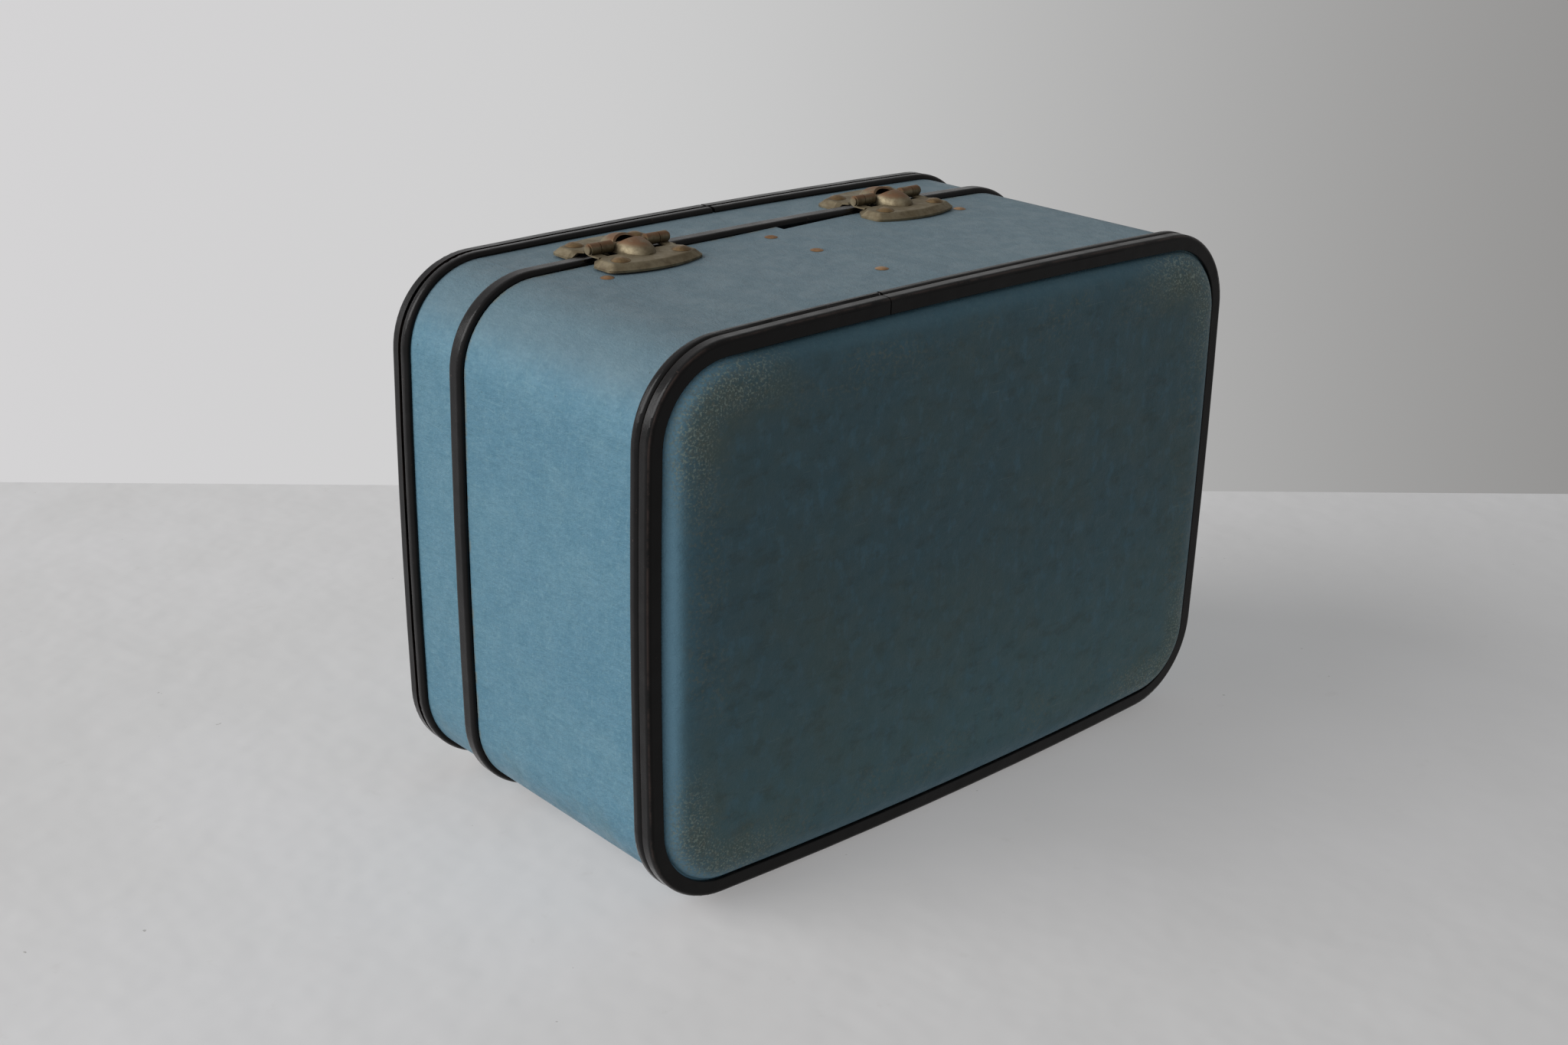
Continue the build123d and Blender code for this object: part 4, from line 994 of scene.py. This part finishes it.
@dataclass
class Handle(SubAssembly):
    """Carrying handle: padded grip in stitched vinyl, with end caps, loops and brackets."""

    stitch_length: float = 3.2
    stitch_pitch: float = 4.6
    stitch_thickness: float = 0.9
    # Length of the grip without stitches at each end, and half the length looked at for a seat
    end_margin: float = 7.0
    slice_half: float = 4.0
    # Share of its thickness that a stitch is pulled into the vinyl
    sunk_share: float = 0.25
    segments: int = 8
    rings: int = 5

    def seat(self, x: float) -> tuple[Vector, Vector]:
        """Find where a stitch lies.

        Args:
            x: Place along the grip, in metres.

        Returns:
            The point of the grip nearest to its brackets, and the outward direction there.
        """
        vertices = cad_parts["handle_grip"].data.vertices
        ring = [vertex.co for vertex in vertices if abs(vertex.co.x - x) < self.slice_half * MM]
        middle = sum(ring, Vector()) / len(ring)
        inner = max(ring, key=lambda point: point.y)
        out = Vector((0.0, inner.y - middle.y, inner.z - middle.z)).normalized()
        return Vector((x, inner.y, inner.z)), out

    def stitch(self, row: bmesh.types.BMesh, x: float) -> None:
        """Sew one stitch: a bead of thread that bulges between its two holes.

        Args:
            row: Mesh of the stitches.
            x: Place of its middle along the grip, in metres.
        """
        start, out = self.seat(x - self.stitch_length * MM / 2)
        end, _ = self.seat(x + self.stitch_length * MM / 2)
        along = (end - start).normalized()
        half = Vector((self.stitch_length, self.stitch_thickness, self.stitch_thickness)) * MM / 2
        turn = Matrix((along, out.cross(along), out)).transposed().to_4x4()
        middle = start.lerp(end, 0.5) - out * self.stitch_thickness * MM * self.sunk_share
        place = Matrix.Translation(middle) @ turn @ Matrix.Diagonal((*half, 1.0))
        bmesh.ops.create_uvsphere(
            row, u_segments=self.segments, v_segments=self.rings, radius=1.0, matrix=place
        )

    def build(self) -> bpy.types.Object:
        """Sew the row of stitches that closes the vinyl along the grip's inner side.

        Returns:
            The row, which rides with the handle.
        """
        low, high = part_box("handle_grip")
        count = int(((high.x - low.x) / 2 / MM - self.end_margin) / self.stitch_pitch)
        row = bmesh.new()
        for step in range(-count, count + 1):
            self.stitch(row, step * self.stitch_pitch * MM)
        bmesh.ops.recalc_face_normals(row, faces=row.faces)
        for face in row.faces:
            face.smooth = True
        mesh = bpy.data.meshes.new("grip_stitches")
        row.to_mesh(mesh)
        row.free()
        stitches = bpy.data.objects.new("grip_stitches", mesh)
        bpy.context.collection.objects.link(stitches)
        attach(stitches, "handle")
        LOG.info("grip_stitches: %d stitches", 2 * count + 1)
        return stitches

    def dress(self, brass: bpy.types.Material) -> None:
        """Dress the handle and sew its grip.

        Args:
            brass: Plating of the pressed fittings.
        """
        self.wear(brass, ["handle_bracket_rivets"], ["handle_cap", "handle_loop", "handle_bracket"])
        self.wear(GrainedVinyl("grained_vinyl").material(), ["handle_grip"])
        self.build().data.materials.append(WaxedThread("waxed_thread").material())


@dataclass(frozen=True)
class Lamp:
    """A soft sun: the direction that it shines from, its strength and the angle that it fills.

    A lamp without a glint isn't shown by glossy surfaces.
    """

    name: str
    towards: tuple[float, float, float]
    strength: float
    softness: float
    glint: bool


@dataclass
class Studio:
    """Pale stage, soft lamps and the photograph's camera.

    The photograph shows the case lying on its front, so its floor is beside the front wall, and
    leans as the case does on its welt and its latches. A level floor serves the standing views.
    """

    # The camera's place and directions, as solved from the edges of the case
    eye: Vector = field(default_factory=lambda: Vector((0.5811, 0.3183, -0.5255)))
    right: Vector = field(default_factory=lambda: Vector((-0.7459, 0.0183, -0.6658)))
    up: Vector = field(default_factory=lambda: Vector((-0.2312, 0.9304, 0.2845)))
    ahead: Vector = field(default_factory=lambda: Vector((-0.6247, -0.3662, 0.6897)))
    lens: float = 46.52
    sensor: float = 36.0
    clip_start: float = 0.02
    # A point of the photograph's floor, its slope along the case's height, and how far it goes
    floor_point: Vector = field(default_factory=lambda: Vector((0.0, -0.1184, 0.008)))
    floor_slope: float = 0.0288
    floor_reach: float = 4.0
    # Distance of the floor's far edge at the left and the right of the view
    far_edge: Span = (1.216, 1.192)
    level_reach: float = 3.0
    # Tones of the wall from left to right, a painted shade that darkens it towards the right, and how far
    # to each side of the middle they go
    wall_tones: tuple[str, str, str] = ("#d4d3d4", "#c6c6c6", "#959493")
    wall_half: float = 0.36
    ambient: str = "#7c7f81"
    lamps: tuple[Lamp, ...] = (
        Lamp("key", (0.80, 0.44, 0.42), 2.3, 50.0, True),
        Lamp("front", (-0.46, -0.40, 0.82), 1.0, 40.0, False),
    )

    def photograph(self) -> None:
        """Place the camera where the photograph was taken from."""
        data = bpy.data.cameras.new("camera")
        data.lens = self.lens
        data.sensor_width = self.sensor
        data.sensor_fit = "HORIZONTAL"
        data.clip_start = self.clip_start
        back = -self.ahead.normalized()
        upward = (self.up - back * self.up.dot(back)).normalized()
        turn = Matrix((upward.cross(back), upward, back)).transposed().to_4x4()
        camera = bpy.data.objects.new("camera", data)
        camera.matrix_world = Matrix.Translation(self.eye) @ turn
        bpy.context.collection.objects.link(camera)
        bpy.context.scene.camera = camera

    def lay(self, name: str, centre: Vector, along: Vector, across: Vector, slant: float = 0.0) -> None:
        """Lay one flat stage sheet that neither shades nor tints the case.

        Args:
            name: Name of the sheet.
            centre: Its middle.
            along: Half of its length, as a vector.
            across: Half of its width, as a vector.
            slant: How much its far edge comes nearer towards the end of across, as a share of along.
        """
        made = bmesh.new()
        bmesh.ops.create_grid(made, x_segments=1, y_segments=1, size=1.0)
        far = [vertex for vertex in made.verts if vertex.co.y > 0]
        shear = Matrix.Identity(4)
        shear[1][0] = -slant
        bmesh.ops.transform(made, matrix=shear, verts=far)
        turn = Matrix((across, along, across.cross(along).normalized())).transposed().to_4x4()
        bmesh.ops.transform(made, matrix=Matrix.Translation(centre) @ turn, verts=made.verts)
        mesh = bpy.data.meshes.new(name)
        made.to_mesh(mesh)
        made.free()
        mesh.materials.append(StagePaper(f"{name}_paper", self.right).material())
        sheet = bpy.data.objects.new(name, mesh)
        for ray in ("diffuse", "glossy", "transmission", "shadow", "volume_scatter"):
            setattr(sheet, f"visible_{ray}", False)
        bpy.context.collection.objects.link(sheet)

    def floors(self) -> None:
        """Lay the photograph's floor, and the level one under the standing case."""
        normal = Vector((0.0, 1.0, self.floor_slope)).normalized()
        foot = self.eye - normal * (self.eye - self.floor_point).dot(normal)
        onward = (self.ahead - normal * self.ahead.dot(normal)).normalized()
        rightward = onward.cross(normal).normalized()
        middle = sum(self.far_edge) / 2
        half_length = (self.floor_reach + middle) / 2
        # The far edge is measured over the width that the camera sees there
        seen_half = middle * self.sensor / self.lens / 2
        slant = (self.far_edge[0] - self.far_edge[1]) / 2 * self.floor_reach / seen_half / half_length
        centre = foot + onward * (middle - half_length)
        self.lay("floor_photo", centre, onward * half_length, rightward * self.floor_reach, slant)
        along = Vector((0, self.level_reach, 0))
        self.lay("floor_level", Vector(), along, Vector((self.level_reach, 0, 0)))

    def hang(self, lamp: Lamp) -> None:
        """Hang one lamp.

        Args:
            lamp: The lamp.
        """
        data = bpy.data.lights.new(lamp.name, "SUN")
        data.energy = lamp.strength
        data.angle = math.radians(lamp.softness)
        sun = bpy.data.objects.new(lamp.name, data)
        sun.visible_glossy = lamp.glint
        sun.rotation_mode = "QUATERNION"
        sun.rotation_quaternion = Vector(lamp.towards).to_track_quat("Z", "Y")
        bpy.context.collection.objects.link(sun)

    def room(self) -> None:
        """Set a pale wall for the camera and reflections, and a dimmer even light for the rest."""
        world = bpy.data.worlds.new("room")
        world.use_nodes = True
        g = Shading(world.node_tree)
        dot = {0: g.add("ShaderNodeTexCoord", out="Generated"), 1: self.right}
        across = g.add("ShaderNodeVectorMath", dot, out="Value", operation="DOT_PRODUCT")
        reach = {"Value": across, "From Min": -self.wall_half, "From Max": self.wall_half}
        wall = g.add("ShaderNodeValToRGB", {0: g.add("ShaderNodeMapRange", reach)})
        left, middle, right = (linear(tone) for tone in self.wall_tones)
        tones = wall.node.color_ramp
        tones.interpolation = "CARDINAL"
        tones.elements[0].color = left
        tones.elements[-1].color = right
        tones.elements.new(1 / 2).color = middle
        seen: Value = 0.0
        for ray in ("Is Camera Ray", "Is Glossy Ray", "Is Transmission Ray"):
            meant = g.add("ShaderNodeLightPath", out=ray)
            seen = g.add("ShaderNodeMath", {0: seen, 1: meant}, operation="MAXIMUM")
        dim = g.add("ShaderNodeBackground", {0: linear(self.ambient)})
        pale = g.add("ShaderNodeBackground", {0: wall})
        g.add("ShaderNodeOutputWorld", {0: g.add("ShaderNodeMixShader", {0: seen, 1: dim, 2: pale})})
        bpy.context.scene.world = world

    def build(self) -> None:
        """Set up the camera, stage and light."""
        self.photograph()
        self.floors()
        for lamp in self.lamps:
            self.hang(lamp)
        self.room()
        bpy.context.scene.view_settings.view_transform = "Standard"
        LOG.info("studio: camera, 2 floors, %d lamps, room", len(self.lamps))


def corners(box: tuple[Vector, Vector]) -> list[list[float]]:
    """Turn a box's two corners into plain lists of numbers."""
    return [[float(value) for value in corner] for corner in box]


def main() -> None:
    """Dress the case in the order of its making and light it."""
    logging.basicConfig(level=logging.INFO, format="%(message)s")
    wall = Leathercloth("leathercloth_wall", Place.WALL).material()
    paper = LiningPaper("lining_paper").material()
    # Brass-plated pressings: an olive gold that is dull and brown in patches
    brass = Plating("brassed_steel", "#a3976f", "#7d7254", "#443a2c", stain_share=0.35).material()
    # Copper-washed rivet heads: a warm brown, half bright
    rivet = Plating("coppered_steel", "#a88460", "#8a6746", "#5c4434", stain_share=0.3).material()
    BodyShell().dress(wall, paper, rivet)
    LidShell().dress(wall, paper)
    Hinges().dress()
    Latches().dress(brass)
    Handle().dress(brass)
    Studio().build()
    bpy.context.view_layer.update()


if __name__ == "__main__":
    main()
